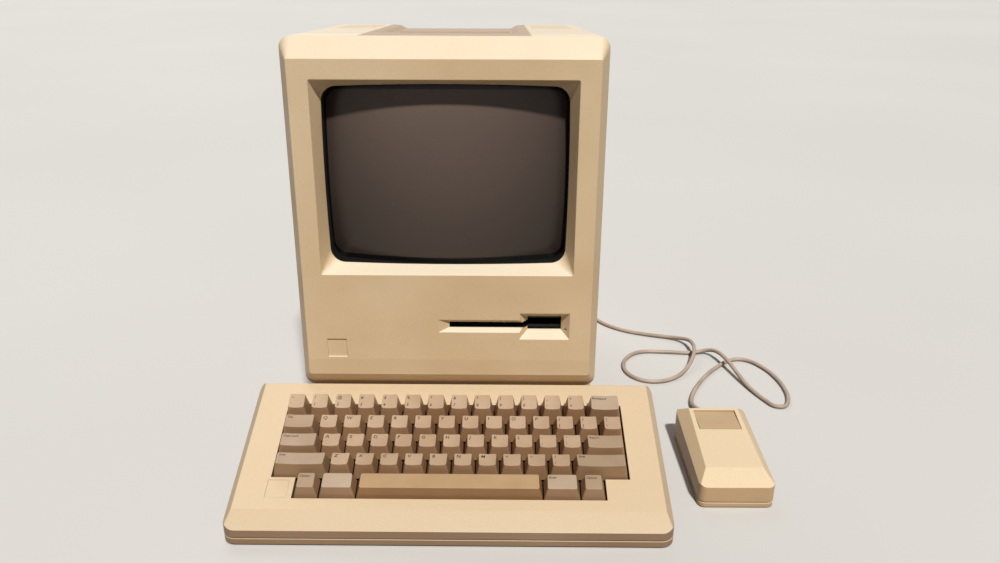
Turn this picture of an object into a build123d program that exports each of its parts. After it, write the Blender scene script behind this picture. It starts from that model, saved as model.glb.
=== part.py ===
from build123d import *
import os
from math import atan, cos, pi, radians, sin, tan

# A vintage desktop computer with its keyboard and one-button mouse, in millimetres.
# +X points to the viewer's right, +Y away from the viewer and +Z up. The whole set stands on z = 0.
# Each unit is modelled where it stands beside the computer, whose middle is at x = 0.
# At the end everything moves so that the origin is under the middle of the set, without its cord.

# ---- Common fits and stock ----
running_fit = 0.05          # radial clearance of a shaft that turns in a bore
gap = 0.3                   # space between pieces that move past each other
cut_over = 5.0              # how far a cutting body runs past the surface that it opens
sheet_steel = 1.5
board_thickness = 1.6

# ---- Computer case ----
case_width = 249.0
case_depth = 277.0
case_height = 345.6
case_front = -136.1         # y of the face's foot
case_wall = 3.0
face_tilt = 2.5             # degrees that the face leans back
face_width = 235.8
face_height = 257.0         # measured up the leaning face
face_corner = 1.5
case_corner = 9.0
bevel_depth = 12.5          # the bevel round the face runs this far back
brow_rise = 15.6            # and rises this far above the face
chin_drop = 15.8            # and drops this far below it
case_taper = 2.5            # each side draws in by this much towards the back
top_slope = 4.0             # degrees that the top falls towards the back
rear_lean = 2.5             # degrees that the upper back leans forward
rear_upright = 120.0        # the back is upright up to this height
rear_corner = 4.0
foot_height = 4.0
foot_radius = 8.0
foot_inset = 18.0
toe_setback = 40.5          # from the face's lower edge back to the wall under the chin
seam_depth = 50.0           # the bezel meets the rear case at this depth behind the face
seam_width = 1.0
seam_sink = 0.8
crease_height = 13.2        # a facet along the foot of the face
crease_sink = 0.8

# ---- Screen opening and picture tube ----
screen_bottom = 88.0
screen_width = 204.5
screen_height = 154.0
screen_depth = 14.6
screen_inner_width = 193.6
screen_inner_height = 144.6
screen_bow_x = 1.2
screen_bow_y = 2.0
screen_corner = 12.0
collar_wall = 2.5
collar_depth = 34.0
tube_radius = 380.0         # of the faceplate's sphere
tube_front = 14.0           # the middle of the glass lies this far behind the face
tube_width = 206.0
tube_height = 160.0
tube_corner = 22.0
tube_shoulder = 52.0
tube_waist = 60.0
tube_waist_depth = 148.0
tube_glass = 5.0
neck_radius = 11.0
neck_start = 168.0
anode_cap_height = 5.0
anode_inset = 63.0          # of the anode cap from the tube's side
anode_back = 34.0           # and behind the tube's shoulder
anode_bend = 12.0           # the lead's bends, where its runs allow them
neck_board_width = 56.0
neck_board_height = 60.0
tube_length = 240.0
band_start = 35.0
band_width = 12.0
band_thickness = 1.5
ear_size = 12.0
tube_post_radius = 5.0

# ---- Face details ----
badge_size = 16.0
badge_x = -93.0
badge_height = 23.5
badge_sink = 1.0
slot_height = 43.6          # middle of the disk slot, up the face
slot_left = -8.0
slot_inner_left = 1.0
slot_mouth = 11.0
slot_opening = 4.8
slot_draft_depth = 4.0
slot_collar_depth = 6.0
notch_left = 59.0
notch_right = 100.5
notch_inner_left = 66.0
notch_inner_right = 94.0
notch_mouth = 23.0
notch_opening = 11.8
notch_depth = 9.0
notch_collar_depth = 10.5
pin_hole_radius = 0.9
pin_hole_x = 97.5
pin_hole_drop = 4.3

# ---- Top and back of the case ----
channel_start = 83.0        # from the face's lower edge back to the channel in the top
channel_top_width = 131.0
channel_edge_width = 116.0  # the walls fall gently to this width, then steeply
channel_edge_sink = 0.8
channel_floor_width = 104.0
channel_sink = 3.8
grip_width = 100.0
grip_length = 34.0
grip_depth = 30.0
grip_start = 20.0           # y of the hand grip's front wall
vent_width = 2.5
vent_pitch = 6.0
top_vent_count = 14
top_vent_length = 36.0
top_vent_x = 88.0
top_vent_start = 30.0
side_vent_count = 16
side_vent_height = 16.0
side_vent_floor = 16.0
side_vent_start = -60.0

# ---- Boards and frame inside the case ----
frame_half_width = 108.4
frame_setback = 56.1        # from the face's foot back to the frame
frame_back_gap = 28.9       # from the frame to the back of the case
frame_floor = 10.0
shelf_drop = 32.4           # the shelf lies this far below the disk slot
flange_width = 12.0
logic_width = 210.0
logic_back_gap = 16.9       # from the logic board to the back of the case
analog_height = 240.0
analog_drop = 15.0          # the analog board starts this far below the shelf
port_rise = 9.5             # from the logic board up to the middle of the ports
port_height_size = 12.5
port_shell_height = 8.4
port_proud = 1.0
db9_width = 17.0
db19_width = 31.0
port_flange_extra = 14.0
port_places = ((79.0, db9_width), (33.0, db19_width), (-11.0, db9_width), (-45.0, db9_width))
audio_x = -68.0

# ---- Power entry, battery and speaker ----
entry_x = -92.0
entry_width = 32.0
entry_bottom = 30.0
entry_top = 86.0
entry_flange = 2.0
entry_depth = 26.0
entry_body_width = 27.0
inlet_width = 24.0
inlet_height = 16.5
inlet_depth = 15.0
inlet_z = 43.5
inlet_pin = 2.0
switch_z = 72.0
switch_width = 14.0
switch_height = 21.0
switch_well = 13.0
rocker_swing = 8.0          # degrees each way from the middle
rocker_pin = 1.2
battery_x = -80.0
battery_z = 103.0
battery_radius = 7.0
battery_length = 50.0
battery_box_width = 58.0
battery_box_height = 19.0
battery_box_depth = 20.0
door_width = 62.0
door_height = 24.0
door_thickness = 2.4
door_pin = 0.8
speaker_x = -58.0
speaker_height = 48.0       # of its middle, up the face
speaker_radius = 28.0
speaker_rim = 4.0
speaker_magnet_radius = 16.0
speaker_depth = 18.0

# ---- Thumbwheel and keyboard jack on the wall under the chin ----
wheel_x = -85.0
wheel_z = 36.0
wheel_radius = 10.0
wheel_thickness = 8.0
wheel_shaft = 3.0
wheel_grooves = 16
groove_radius = 0.8
pot_radius = 8.0
pot_length = 10.0
jack_x = 92.0
jack_z = 32.0
jack_width = 15.0
jack_height = 14.0
jack_depth = 17.0
jack_mouth = 9.8
jack_mouth_height = 7.0
jack_mouth_depth = 12.0

# ---- Disk drive ----
drive_x = 47.5
drive_width = 102.0
drive_length = 150.0
drive_front_gap = 12.0      # from the face wall's outside to the drive's front plate
drive_height = 50.0
drive_slot = 6.0
drive_slot_width = 94.0
spindle_radius = 12.0
spindle_height = 9.0
spindle_shaft = 3.0
carriage_travel = 34.0
carriage_width = 26.0
carriage_length = 22.0
carriage_height = 12.0
screw_radius = 2.0
screw_length = 56.0
rail_radius = 2.0
stepper_radius = 12.0
stepper_length = 16.0

# ---- Fasteners ----
case_screw_radius = 2.0
case_screw_head = 3.8
case_screw_head_height = 3.0
case_screw_length = 28.0
ear_screw_length = 12.0
screw_hole_play = 0.2
chassis_tab_depth = 8.0
side_screw_inset = 5.0      # of the outer case screws from the frame's side
upper_screw_drop = 9.0      # of the upper case screws below the shelf
left_screw_x = -64.0

# ---- Keyboard ----
keyboard_x = 5.2
keyboard_front = -270.5
keyboard_width = 336.0
keyboard_depth = 146.0
keyboard_corner = 10.0
keyboard_base_gap = 1.2     # the underside stands this far above the desk
keyboard_nose = 13.6        # height of the upright front
keyboard_seam = 6.5
keyboard_band_depth = 14.5
keyboard_band_height = 22.3
keyboard_slope = 17.0
keyboard_back_bevel = 6.0
keyboard_side_bevel = 5.0
keyboard_wall = 2.5
well_front = 24.2           # y of the key well's front edge, from the keyboard's front
well_margin = 0.6
well_front_margin = 1.4
well_rim = 2.0
well_rim_depth = 9.0
key_pitch = 19.05
key_base = 18.2
key_skirt = 2.6             # how far a key's skirt reaches below the case's surface
key_lean_front = 3.7        # a key's top starts this far behind its foot
key_lean_side = 2.7
key_lean_back = 1.5
key_travel = 3.8
key_wall = 1.4
key_corner = 1.6
key_dish_sink = 0.7
key_stem = 5.0
key_stem_gap = 0.3
stem_reach = 0.8            # of a key's stem below the steel plate's top
row_heights = (6.3, 10.8, 10.2, 10.6, 12.9)  # of each row's front top edge, front row first
row_tilts = (3.0, -10.0, -3.5, 0.0, 9.0)    # degrees added to the keyboard's slope
row_widths = (
    (1.0, 1.5, 7.5, 1.5, 1.0),
    (2.25,) + (1.0,) * 10 + (2.25,),
    (1.75,) + (1.0,) * 11 + (1.75,),
    (1.5,) + (1.0,) * 13,
    (1.0,) * 13 + (1.5,),
)
switch_plate_depth = 12.0   # the steel plate lies this far below the case's surface
switch_size = 15.6
switch_body = 13.8
switch_rise = 5.2
switch_drop = 5.0
switch_floor = 1.5
plate_edge = 8.0
plate_post_radius = 3.0
board_post = 8.0
keyboard_emblem = 16.5
keyboard_emblem_sink = 0.5
keyboard_emblem_x = -132.0
keyboard_emblem_up = 7.6    # of its middle, up the slope from the first key
keyboard_foot_radius = 6.0
keyboard_foot_inset = 14.0
socket_x = 86.2
socket_z = 18.0

# ---- Mouse ----
mouse_x = 230.5
mouse_y = -220.0
mouse_turn = 0.3
mouse_width = 60.0
mouse_length = 109.0
mouse_corner = 6.0
mouse_base_gap = 0.8        # the underside stands this far above the desk on its glides
mouse_seam = 5.0
mouse_shoulder_low = 19.5   # the side bevels start at this height at the palm end
mouse_shoulder_high = 26.5  # and at this height at the cable end
mouse_palm_height = 19.2
mouse_palm_length = 16.0
mouse_palm_top = 27.5
mouse_top_end = 97.0
mouse_height = 34.5
mouse_nose_height = 26.0
mouse_wall = 2.0
button_width = 35.0
button_start = 67.0
button_length = 27.0
button_thickness = 4.0
button_gap = 0.4
button_swing = 2.5          # degrees
button_pin = 1.0
button_lug = 3.0
button_dish = 0.5
ball_radius = 12.5
ball_y = 46.0
cage_gap = 0.6
cage_wall = 1.6
ring_radius = 19.0
ring_hole = 9.0
roller_radius = 2.0
roller_length = 34.0
roller_lead = 6.0           # the sideways roller ends this far past the ball's middle
roller_post = 3.0
roller_post_top = 16.0
encoder_radius = 7.0
encoder_share_x = 0.12      # of the shaft's length, where its wheel sits
encoder_share_y = 0.8
encoder_thickness = 1.2
encoder_slots = 24
mouse_board_z = 9.0
mouse_board_width = 44.0
mouse_board_start = 72.0
mouse_board_length = 30.0
mouse_glide_radius = 3.5
mouse_glide_inset = 9.0

# ---- Mouse cord and plug ----
cord_diameter = 4.0
relief_length = 12.0
relief_radius = 3.6
relief_height = 9.6
relief_flange = 1.5
plug_hood_length = 30.0
plug_hood_width = 31.0
plug_hood_height = 15.0
plug_sleeve = 12.0
cord_end = 0.6              # wall of the sleeves at their thin ends
cord_lead = 14.0            # the cord leaves each sleeve straight for this far
cord_route = (
    (83.0, 209.0, 14.0), (95.0, 217.0, 5.0), (111.0, 215.0, 2.0), (127.0, 205.0, 2.0),
    (141.0, 188.0, 2.0), (147.0, 167.0, 2.0), (150.0, 147.0, 2.0), (160.0, 125.0, 2.0),
    (181.0, 106.0, 2.0), (208.0, 95.0, 2.0), (238.0, 86.0, 3.0), (250.5, 65.0, 10.5),
    (249.0, 36.0, 10.5), (234.0, 6.0, 3.0), (212.0, -14.0, 2.0), (187.0, -15.0, 2.0),
    (171.0, 4.0, 2.0), (172.0, 32.0, 2.0), (190.0, 54.0, 2.0), (220.0, 53.0, 2.0),
    (248.0, 49.5, 2.0), (263.0, 51.5, 5.0), (272.0, 40.0, 10.5), (279.0, 13.0, 10.5),
    (286.0, -14.0, 4.0), (293.0, -36.0, 2.0), (299.5, -51.5, 2.0), (304.5, -63.0, 2.0),
    (316.8, -63.5, 2.0), (324.5, -43.0, 2.0), (325.0, -16.0, 2.0), (319.0, 12.0, 2.0),
    (305.0, 35.0, 2.0), (288.0, 37.0, 2.0), (272.0, 23.0, 2.0), (252.0, -1.0, 2.0),
    (236.0, -29.0, 2.0), (228.5, -48.0, 2.0), (225.7, -64.0, 3.5),
)

# ---- Sizes worked out from those above ----
lean = radians(face_tilt)
face_bottom = case_height - (face_height + brow_rise) * cos(lean) + bevel_depth * sin(lean)
face_y = case_front
toe_y = face_y + toe_setback
inner_floor = foot_height + case_wall
face = Plane(origin=(0, face_y, face_bottom), x_dir=(1, 0, 0), z_dir=(0, -cos(lean), sin(lean)))
back_depth = case_depth + bevel_depth
screen_middle = screen_bottom + screen_height / 2
port_z = frame_floor + sheet_steel + board_thickness + port_rise
rear_y = face_y + case_depth
frame_front = face_y + frame_setback
frame_rear = rear_y - frame_back_gap
logic_rear = rear_y - logic_back_gap
slot_z = face_bottom + slot_height * cos(lean)
shelf_height = slot_z - shelf_drop
analog_bottom = shelf_height - analog_drop


def block(xs, ys, zs):
    """A box between two values on each axis."""
    size = [b - a for a, b in (xs, ys, zs)]
    middle = [(a + b) / 2 for a, b in (xs, ys, zs)]
    return Pos(*middle) * Box(*size)


def rod(radius, start, end):
    """A round bar from one point to another."""
    axis = Vector(*end) - Vector(*start)
    plane = Plane(origin=start, z_dir=axis)
    return plane * Cylinder(radius, axis.length, align=(Align.CENTER, Align.CENTER, Align.MIN))


def prism_x(points, half_width):
    """A side profile of (y, z) points drawn across x from one side to the other."""
    profile = make_face(Polyline([(0, y, z) for y, z in points], close=True))
    return extrude(profile, half_width, dir=(1, 0, 0), both=True)


def frame_rect(width, bottom, top, corner, depth):
    """A rounded rectangle parallel to the face, in the face's own coordinates."""
    sketch = RectangleRounded(width, top - bottom, corner) if corner > 0 else Rectangle(width, top - bottom)
    return Pos(0, (bottom + top) / 2, -depth) * sketch


def on_face(shape):
    """Carries a shape drawn in the face's coordinates (x, height up the face, outward) into place."""
    return face.location * shape


def face_point(x, up, depth):
    return face.from_local_coords(Vector(x, up, -depth))


def funnel(outer, outer_depth, inner, inner_depth):
    """A draughted recess: each end is (left, right, bottom, top) in face coordinates."""
    ends = []
    for (left, right, bottom, top), depth in ((outer, outer_depth), (inner, inner_depth)):
        ends.append(Pos((left + right) / 2, (bottom + top) / 2, -depth) * Rectangle(right - left, top - bottom))
    return loft(ends, ruled=True)


def face_block(xs, ups, depths):
    """A box in face coordinates."""
    return block(xs, ups, (-depths[1], -depths[0]))


# ---------------------------------------------------------------- computer case

def case_form(inset=0.0):
    """The case's outer form, or the same form moved inward all round by inset."""
    front = frame_rect(face_width - 2 * inset, inset, face_height - inset, face_corner, inset)
    rim_depth = bevel_depth + inset / 2
    rim_low = inset - chin_drop
    rim_high = face_height + brow_rise - inset
    rim = frame_rect(case_width - 2 * inset, rim_low, rim_high, case_corner - inset, rim_depth)
    tail_width = case_width - 2 * case_taper - 2 * inset
    tail_high = rim_high - (back_depth - rim_depth) * tan(radians(top_slope) - lean)
    tail = frame_rect(tail_width, rim_low, tail_high, case_corner - inset, back_depth)
    upper = on_face(loft([front, rim], ruled=True) + loft([rim, tail], ruled=True))
    low, high = -face_bottom - chin_drop, face_height / 2
    lower_rim = frame_rect(case_width - 2 * inset, low, high, 0, rim_depth)
    lower_tail = frame_rect(tail_width, low, high, 0, back_depth)
    lower = on_face(loft([lower_rim, lower_tail], ruled=True))
    lower &= block(
        (-case_width, case_width),
        (toe_y + inset, case_depth),
        (foot_height + inset, face_bottom + high / 2),
    )
    return (upper + lower) & rear_limit(inset)


def rear_limit(inset):
    """Everything in front of the back of the case."""
    back = rear_y - inset
    lean_back = (case_height - rear_upright) * tan(radians(rear_lean))
    profile = [
        (-case_depth, -cut_over),
        (back, -cut_over),
        (back, rear_upright),
        (back - lean_back, case_height + cut_over),
        (-case_depth, case_height + cut_over),
    ]
    return prism_x(profile, case_width)


def case_shape():
    """The outer form with its back corners rounded."""
    form = case_form()
    side = case_width / 2 - case_taper - 1
    upright = [edge for edge in form.edges() if abs(edge.center().X) > side and edge.center().Y > rear_y - 10]
    return fillet(upright, rear_corner)


def seam_groove(form):
    """The shadow line between bezel and rear case."""
    slab = on_face(face_block(
        (-case_width, case_width),
        (-case_height, case_height + cut_over * 4),
        (seam_depth - seam_width / 2, seam_depth + seam_width / 2),
    ))
    return (form & slab) - case_form(seam_sink)


def ahead_of_seam():
    return on_face(face_block(
        (-case_width, case_width),
        (-case_height, 2 * case_height),
        (-case_depth, seam_depth),
    ))


def bowed_opening(depth):
    """The inner edge of the screen opening: four shallow arcs and rounded corners."""
    w = screen_inner_width / 2
    h = screen_inner_height / 2
    x, y = w - screen_bow_x, h - screen_bow_y
    edges = [
        ThreePointArc((-x, -y), (0, -h), (x, -y)),
        ThreePointArc((x, -y), (w, 0), (x, y)),
        ThreePointArc((x, y), (0, h), (-x, y)),
        ThreePointArc((-x, y), (-w, 0), (-x, -y)),
    ]
    sketch = make_face(Curve() + edges)
    sketch = fillet(sketch.vertices(), screen_corner)
    return Pos(0, screen_middle, -depth) * sketch


def screen_hole():
    """The screen recess and the opening behind it, in face coordinates."""
    outer = frame_rect(screen_width, screen_bottom, screen_bottom + screen_height, face_corner, 0)
    inner = bowed_opening(screen_depth)
    recess = loft([outer, inner], ruled=True)
    mouth = extrude(outer.face(), cut_over, dir=(0, 0, 1))
    throat = extrude(inner.face(), collar_depth, dir=(0, 0, -1))
    return recess + mouth + throat


def screen_collar():
    """The wall round the screen opening, in face coordinates."""
    w = 2 * collar_wall
    start = case_wall - 0.5
    share = start / screen_depth
    start_width = screen_width + w - share * (screen_width - screen_inner_width)
    half = (screen_height + w - share * (screen_height - screen_inner_height)) / 2
    end_half = screen_inner_height / 2 + collar_wall
    outer = frame_rect(
        start_width, screen_middle - half, screen_middle + half, face_corner + collar_wall, start
    )
    inner = frame_rect(
        screen_inner_width + w, screen_middle - end_half, screen_middle + end_half,
        screen_corner + collar_wall, screen_depth,
    )
    return loft([outer, inner], ruled=True) + extrude(inner.face(), collar_depth - screen_depth, dir=(0, 0, -1))


def tube_outline(inset, depth):
    low = screen_middle - tube_height / 2 + inset
    high = screen_middle + tube_height / 2 - inset
    return frame_rect(tube_width - 2 * inset, low, high, tube_corner - inset, depth)


def tube_form(inset, front_inset):
    """Picture tube: spherical faceplate, funnel and neck, in face coordinates."""
    panel = extrude(tube_outline(inset, 0).face(), tube_shoulder - inset / 2, dir=(0, 0, -1))
    centre_depth = tube_front + tube_radius
    sphere = Pos(0, screen_middle, -centre_depth) * Sphere(tube_radius - front_inset)
    panel &= sphere
    waist = tube_waist / 2 - inset
    funnel_start = tube_outline(inset, tube_shoulder - inset / 2)
    funnel_end = frame_rect(
        2 * waist, screen_middle - waist, screen_middle + waist, waist - 0.5, tube_waist_depth
    )
    cone = Pos(0, screen_middle, -(tube_waist_depth + neck_start) / 2) * Rot(180, 0, 0) * Cone(
        waist - 0.6, neck_radius - inset / 2, neck_start - tube_waist_depth
    )
    neck = Pos(0, screen_middle, -(neck_start + tube_length) / 2) * Cylinder(
        neck_radius - inset / 2, tube_length - neck_start - inset
    )
    return panel + loft([funnel_start, funnel_end], ruled=True) + cone + neck


def tube_clearance(space):
    """What the bezel must leave free for the glass, in face coordinates."""
    centre_depth = tube_front + tube_radius
    sphere = Pos(0, screen_middle, -centre_depth) * Sphere(tube_radius + space)
    panel = extrude(tube_outline(-space, 0).face(), tube_shoulder, dir=(0, 0, -1))
    return panel & sphere


def tube_ears():
    """The four places where the tube is screwed to the bezel: (x, height up the face)."""
    x = tube_width / 2 - tube_corner * 0.3 + ear_size * 0.55
    y = tube_height / 2 - tube_corner * 0.3 + ear_size * 0.35
    return [(sx * x, screen_middle + sy * y) for sx in (-1, 1) for sy in (-1, 1)]


def front_bezel():
    form = case_shape()
    shell = (form - case_form(case_wall)) & ahead_of_seam()
    shell -= seam_groove(form)
    slot_low = slot_height - slot_opening / 2
    slot_high = slot_height + slot_opening / 2
    notch_low = slot_height - notch_opening / 2
    notch_high = slot_height + notch_opening / 2
    added = screen_collar()
    added += face_block(
        (slot_left - 2, notch_right + 2),
        (slot_height - slot_mouth / 2, slot_height + slot_mouth / 2),
        (case_wall - 0.5, slot_collar_depth),
    )
    added += face_block(
        (notch_left - 2, notch_right + 2),
        (slot_height - notch_mouth / 2 - 1, slot_height + notch_mouth / 2 + 1),
        (case_wall - 0.5, notch_collar_depth),
    )
    for x, up in tube_ears():
        added += Pos(x, up, -(case_wall - 0.5 + band_start) / 2) * Cylinder(
            tube_post_radius, band_start - case_wall + 0.5
        )
    removed = screen_hole() + tube_clearance(gap)
    for x, up in tube_ears():
        removed += Pos(x, up, -band_start) * Cylinder(
            case_screw_radius + screw_hole_play, 2 * (ear_screw_length - band_thickness + 1)
        )
    removed += funnel(
        (slot_left, notch_left + 2, slot_height - slot_mouth / 2, slot_height + slot_mouth / 2), 0,
        (slot_inner_left, notch_left + 2, slot_low, slot_high), slot_draft_depth,
    )
    removed += face_block((slot_inner_left, notch_inner_right), (slot_low, slot_high), (1, 2 * notch_depth))
    removed += funnel(
        (notch_left, notch_right, slot_height - notch_mouth / 2, slot_height + notch_mouth / 2), 0,
        (notch_inner_left, notch_inner_right, notch_low, notch_high), notch_depth,
    )
    removed += face_block(
        (notch_inner_left, notch_inner_right), (notch_low, notch_high), (notch_depth - 1, 2 * notch_depth)
    )
    removed += Pos(pin_hole_x, slot_height - pin_hole_drop, -notch_collar_depth) * Cylinder(
        pin_hole_radius, 2 * notch_collar_depth
    )
    removed += face_block(
        (badge_x - badge_size / 2, badge_x + badge_size / 2),
        (badge_height - badge_size / 2, badge_height + badge_size / 2),
        (-cut_over, badge_sink),
    )
    bezel = shell + on_face(added) - on_face(removed)
    wedge = make_face(Polyline([
        (0, crease_height, 0), (0, 0, -crease_sink), (0, -chin_drop, -crease_sink), (0, -chin_drop, cut_over),
        (0, crease_height, cut_over),
    ], close=True))
    bezel -= on_face(extrude(wedge, case_width, dir=(1, 0, 0), both=True))
    bezel -= rod(wheel_shaft + running_fit, (wheel_x, toe_y - 1, wheel_z), (wheel_x, toe_y + case_wall + 1, wheel_z))
    bezel -= block(
        (jack_x - jack_width / 2, jack_x + jack_width / 2),
        (toe_y - 1, toe_y + case_wall + 1),
        (jack_z - jack_height / 2, jack_z + jack_height / 2),
    )
    return bezel


def top_surface_z(y):
    """Height of the case's sloping top at y."""
    edge = face_point(0, face_height + brow_rise, bevel_depth)
    return edge.Z - (y - edge.Y) * tan(radians(top_slope))


def channel_cut(widen=0.0, deepen=0.0):
    """The shallow channel along the top of the case; widened and deepened, it is the skin under it."""
    start = face_y + channel_start - widen
    length = rear_y - start + cut_over
    top = channel_top_width / 2 + widen
    edge = channel_edge_width / 2 + widen
    floor = channel_floor_width / 2 + widen
    half_profile = [(top, 1), (top, -deepen), (edge, -channel_edge_sink - deepen), (floor, -channel_sink - deepen)]
    points = [(x, 0, z) for x, z in half_profile] + [(-x, 0, z) for x, z in reversed(half_profile)]
    profile = make_face(Polyline(points, close=True))
    solid = extrude(profile, length, dir=(0, 1, 0))
    return Pos(0, start, top_surface_z(start)) * Rot(-top_slope, 0, 0) * solid


def grip_box(grow=0.0):
    floor = top_surface_z(grip_start) - channel_sink - grip_depth
    return block(
        (-grip_width / 2 - grow, grip_width / 2 + grow),
        (grip_start - grow, grip_start + grip_length + grow),
        (floor - grow, case_height + cut_over),
    )


def battery_box(grow=0.0):
    return block(
        (battery_x - battery_box_width / 2 - grow, battery_x + battery_box_width / 2 + grow),
        (rear_y - battery_box_depth - grow, rear_y + cut_over),
        (battery_z - battery_box_height / 2 - grow, battery_z + battery_box_height / 2 + grow),
    )


def door_seat(space):
    """The recess that the battery door closes."""
    return block(
        (battery_x - door_width / 2 - space, battery_x + door_width / 2 + space),
        (rear_y - door_thickness - space, rear_y + cut_over),
        (battery_z - door_height / 2 - space, battery_z + door_height / 2 + space),
    )


def door_pivot():
    """Middle of the battery door's hinge pin: (y, z)."""
    return rear_y - door_thickness / 2, battery_z - door_height / 2 + door_thickness / 2


def case_screw_places():
    """Seats of the case screws in the back: (x, z)."""
    side = frame_half_width - side_screw_inset
    low = frame_floor + 12
    high = shelf_height - upper_screw_drop
    return (-side, low), (side, low), (left_screw_x, high), (side, high)


def rear_case():
    form = case_shape()
    cavity = case_form(case_wall)
    cavity -= channel_cut(case_wall, case_wall)
    cavity -= grip_box(case_wall)
    cavity -= battery_box(case_wall)
    cavity -= door_seat(case_wall + gap)
    outer = form - channel_cut() - grip_box() - battery_box() - door_seat(gap)
    shell = outer - cavity - ahead_of_seam() - seam_groove(form)
    for index in range(top_vent_count):
        y = top_vent_start + index * vent_pitch
        for side in (-1, 1):
            shell -= block(
                (side * top_vent_x - top_vent_length / 2, side * top_vent_x + top_vent_length / 2),
                (y, y + vent_width),
                (top_surface_z(y) - 2 * case_wall, case_height + cut_over),
            )
    side_vents = []
    for index in range(side_vent_count):
        y = side_vent_start + index * vent_pitch
        side_vents.append(block(
            (-case_width, case_width), (y, y + vent_width),
            (side_vent_floor, side_vent_floor + side_vent_height),
        ))
    shell -= Compound(side_vents)
    for x, width in port_places:
        shell -= block(
            (x - (width + port_flange_extra) / 2 - gap, x + (width + port_flange_extra) / 2 + gap),
            (rear_y - 2 * case_wall, rear_y + 1),
            (port_z - port_height_size / 2 - gap, port_z + port_height_size / 2 + gap),
        )
    shell -= rod(4 + gap, (audio_x, rear_y - 2 * case_wall, port_z), (audio_x, rear_y + 1, port_z))
    shell -= block(
        (entry_x - entry_body_width / 2, entry_x + entry_body_width / 2),
        (rear_y - 2 * case_wall, rear_y + 1),
        (entry_bottom + entry_flange, entry_top - entry_flange),
    )
    y, z = door_pivot()
    reach = door_width / 2 + gap + 3
    shell -= rod(door_pin + running_fit, (battery_x - reach, y, z), (battery_x + reach, y, z))
    seat = rear_y - case_screw_head_height - 1
    for x, z in case_screw_places():
        shell += rod(case_screw_head + 2.5, (x, seat - 4, z), (x, rear_y - 1, z))
        shell -= rod(case_screw_head + gap, (x, seat, z), (x, rear_y + cut_over, z))
        shell -= rod(case_screw_radius + screw_hole_play, (x, seat - 5, z), (x, rear_y, z))
    return shell


def battery_door():
    y, z = door_pivot()
    plate = block(
        (battery_x - door_width / 2, battery_x + door_width / 2),
        (rear_y - door_thickness, rear_y),
        (z, battery_z + door_height / 2),
    )
    plate += rod(door_thickness / 2, (battery_x - door_width / 2, y, z), (battery_x + door_width / 2, y, z))
    reach = door_width / 2 + gap + 2
    plate += rod(door_pin, (battery_x - reach, y, z), (battery_x + reach, y, z))
    for index in range(5):
        level = battery_z + door_height / 2 - 3 - index * 1.8
        plate -= block(
            (battery_x - 9, battery_x + 9), (rear_y - 0.6, rear_y + 1), (level, level + 0.9)
        )
    return plate


def battery():
    z = battery_z - battery_box_height / 2 + battery_radius
    y = rear_y - battery_box_depth + battery_radius
    half = battery_length / 2
    cell = rod(battery_radius, (battery_x - half, y, z), (battery_x + half, y, z))
    return cell + rod(2.5, (battery_x + half, y, z), (battery_x + half + 1.5, y, z))


def computer_feet():
    x = case_width / 2 - foot_inset
    feet = []
    for sx in (-1, 1):
        for y in (toe_y + foot_inset, rear_y - foot_inset):
            feet.append(rod(foot_radius, (sx * x, y, 0), (sx * x, y, foot_height)))
    return Compound(feet)


# ---------------------------------------------------------------- picture tube

def crt_tube():
    hollow = tube_form(tube_glass, 2 * tube_glass)
    tip = Pos(0, screen_middle, -tube_length) * Cylinder(1.5, 4 * tube_glass)
    return on_face(tube_form(0, 0) - hollow - tip)


def crt_band():
    """Steel band round the tube with four screw ears."""
    start, end = band_start, band_start + band_width
    ring = extrude(tube_outline(-band_thickness, start).face(), band_width, dir=(0, 0, -1))
    for x, up in tube_ears():
        ear = Pos(x, up, -start - band_thickness / 2) * Box(ear_size + 8, ear_size, band_thickness)
        ring += ear
    ring -= extrude(tube_outline(0, start - 1).face(), end - start + 2, dir=(0, 0, -1))
    for x, up in tube_ears():
        ring -= Pos(x, up, -start) * Cylinder(case_screw_radius + screw_hole_play, 4 * band_thickness)
    return on_face(ring)


def deflection_yoke():
    """Ferrite and windings round the neck, seated on the funnel's narrow end."""
    length = 34.0
    middle = neck_start + length / 2
    ring = Pos(0, screen_middle, -middle) * Cylinder(neck_radius + 19, length)
    ring -= Pos(0, screen_middle, -middle) * Cylinder(neck_radius + gap, length + 2)
    flare = Pos(0, screen_middle, -neck_start - 4) * Cylinder(neck_radius + 27, 8)
    flare -= Pos(0, screen_middle, -neck_start - 4) * Cylinder(neck_radius + gap, 10)
    return on_face(ring + flare)


def neck_board():
    """Small board plugged onto the tube's neck."""
    depth = tube_length - 8
    board = Pos(0, screen_middle, -depth - board_thickness / 2) * Box(
        neck_board_width, neck_board_height, board_thickness
    )
    socket = Pos(0, screen_middle, -depth - 6) * Cylinder(neck_radius + 6, 10)
    bore = Pos(0, screen_middle, -depth) * Cylinder(neck_radius + gap, 60)
    return on_face(board + socket - bore)


# ---------------------------------------------------------------- frame and boards

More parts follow.
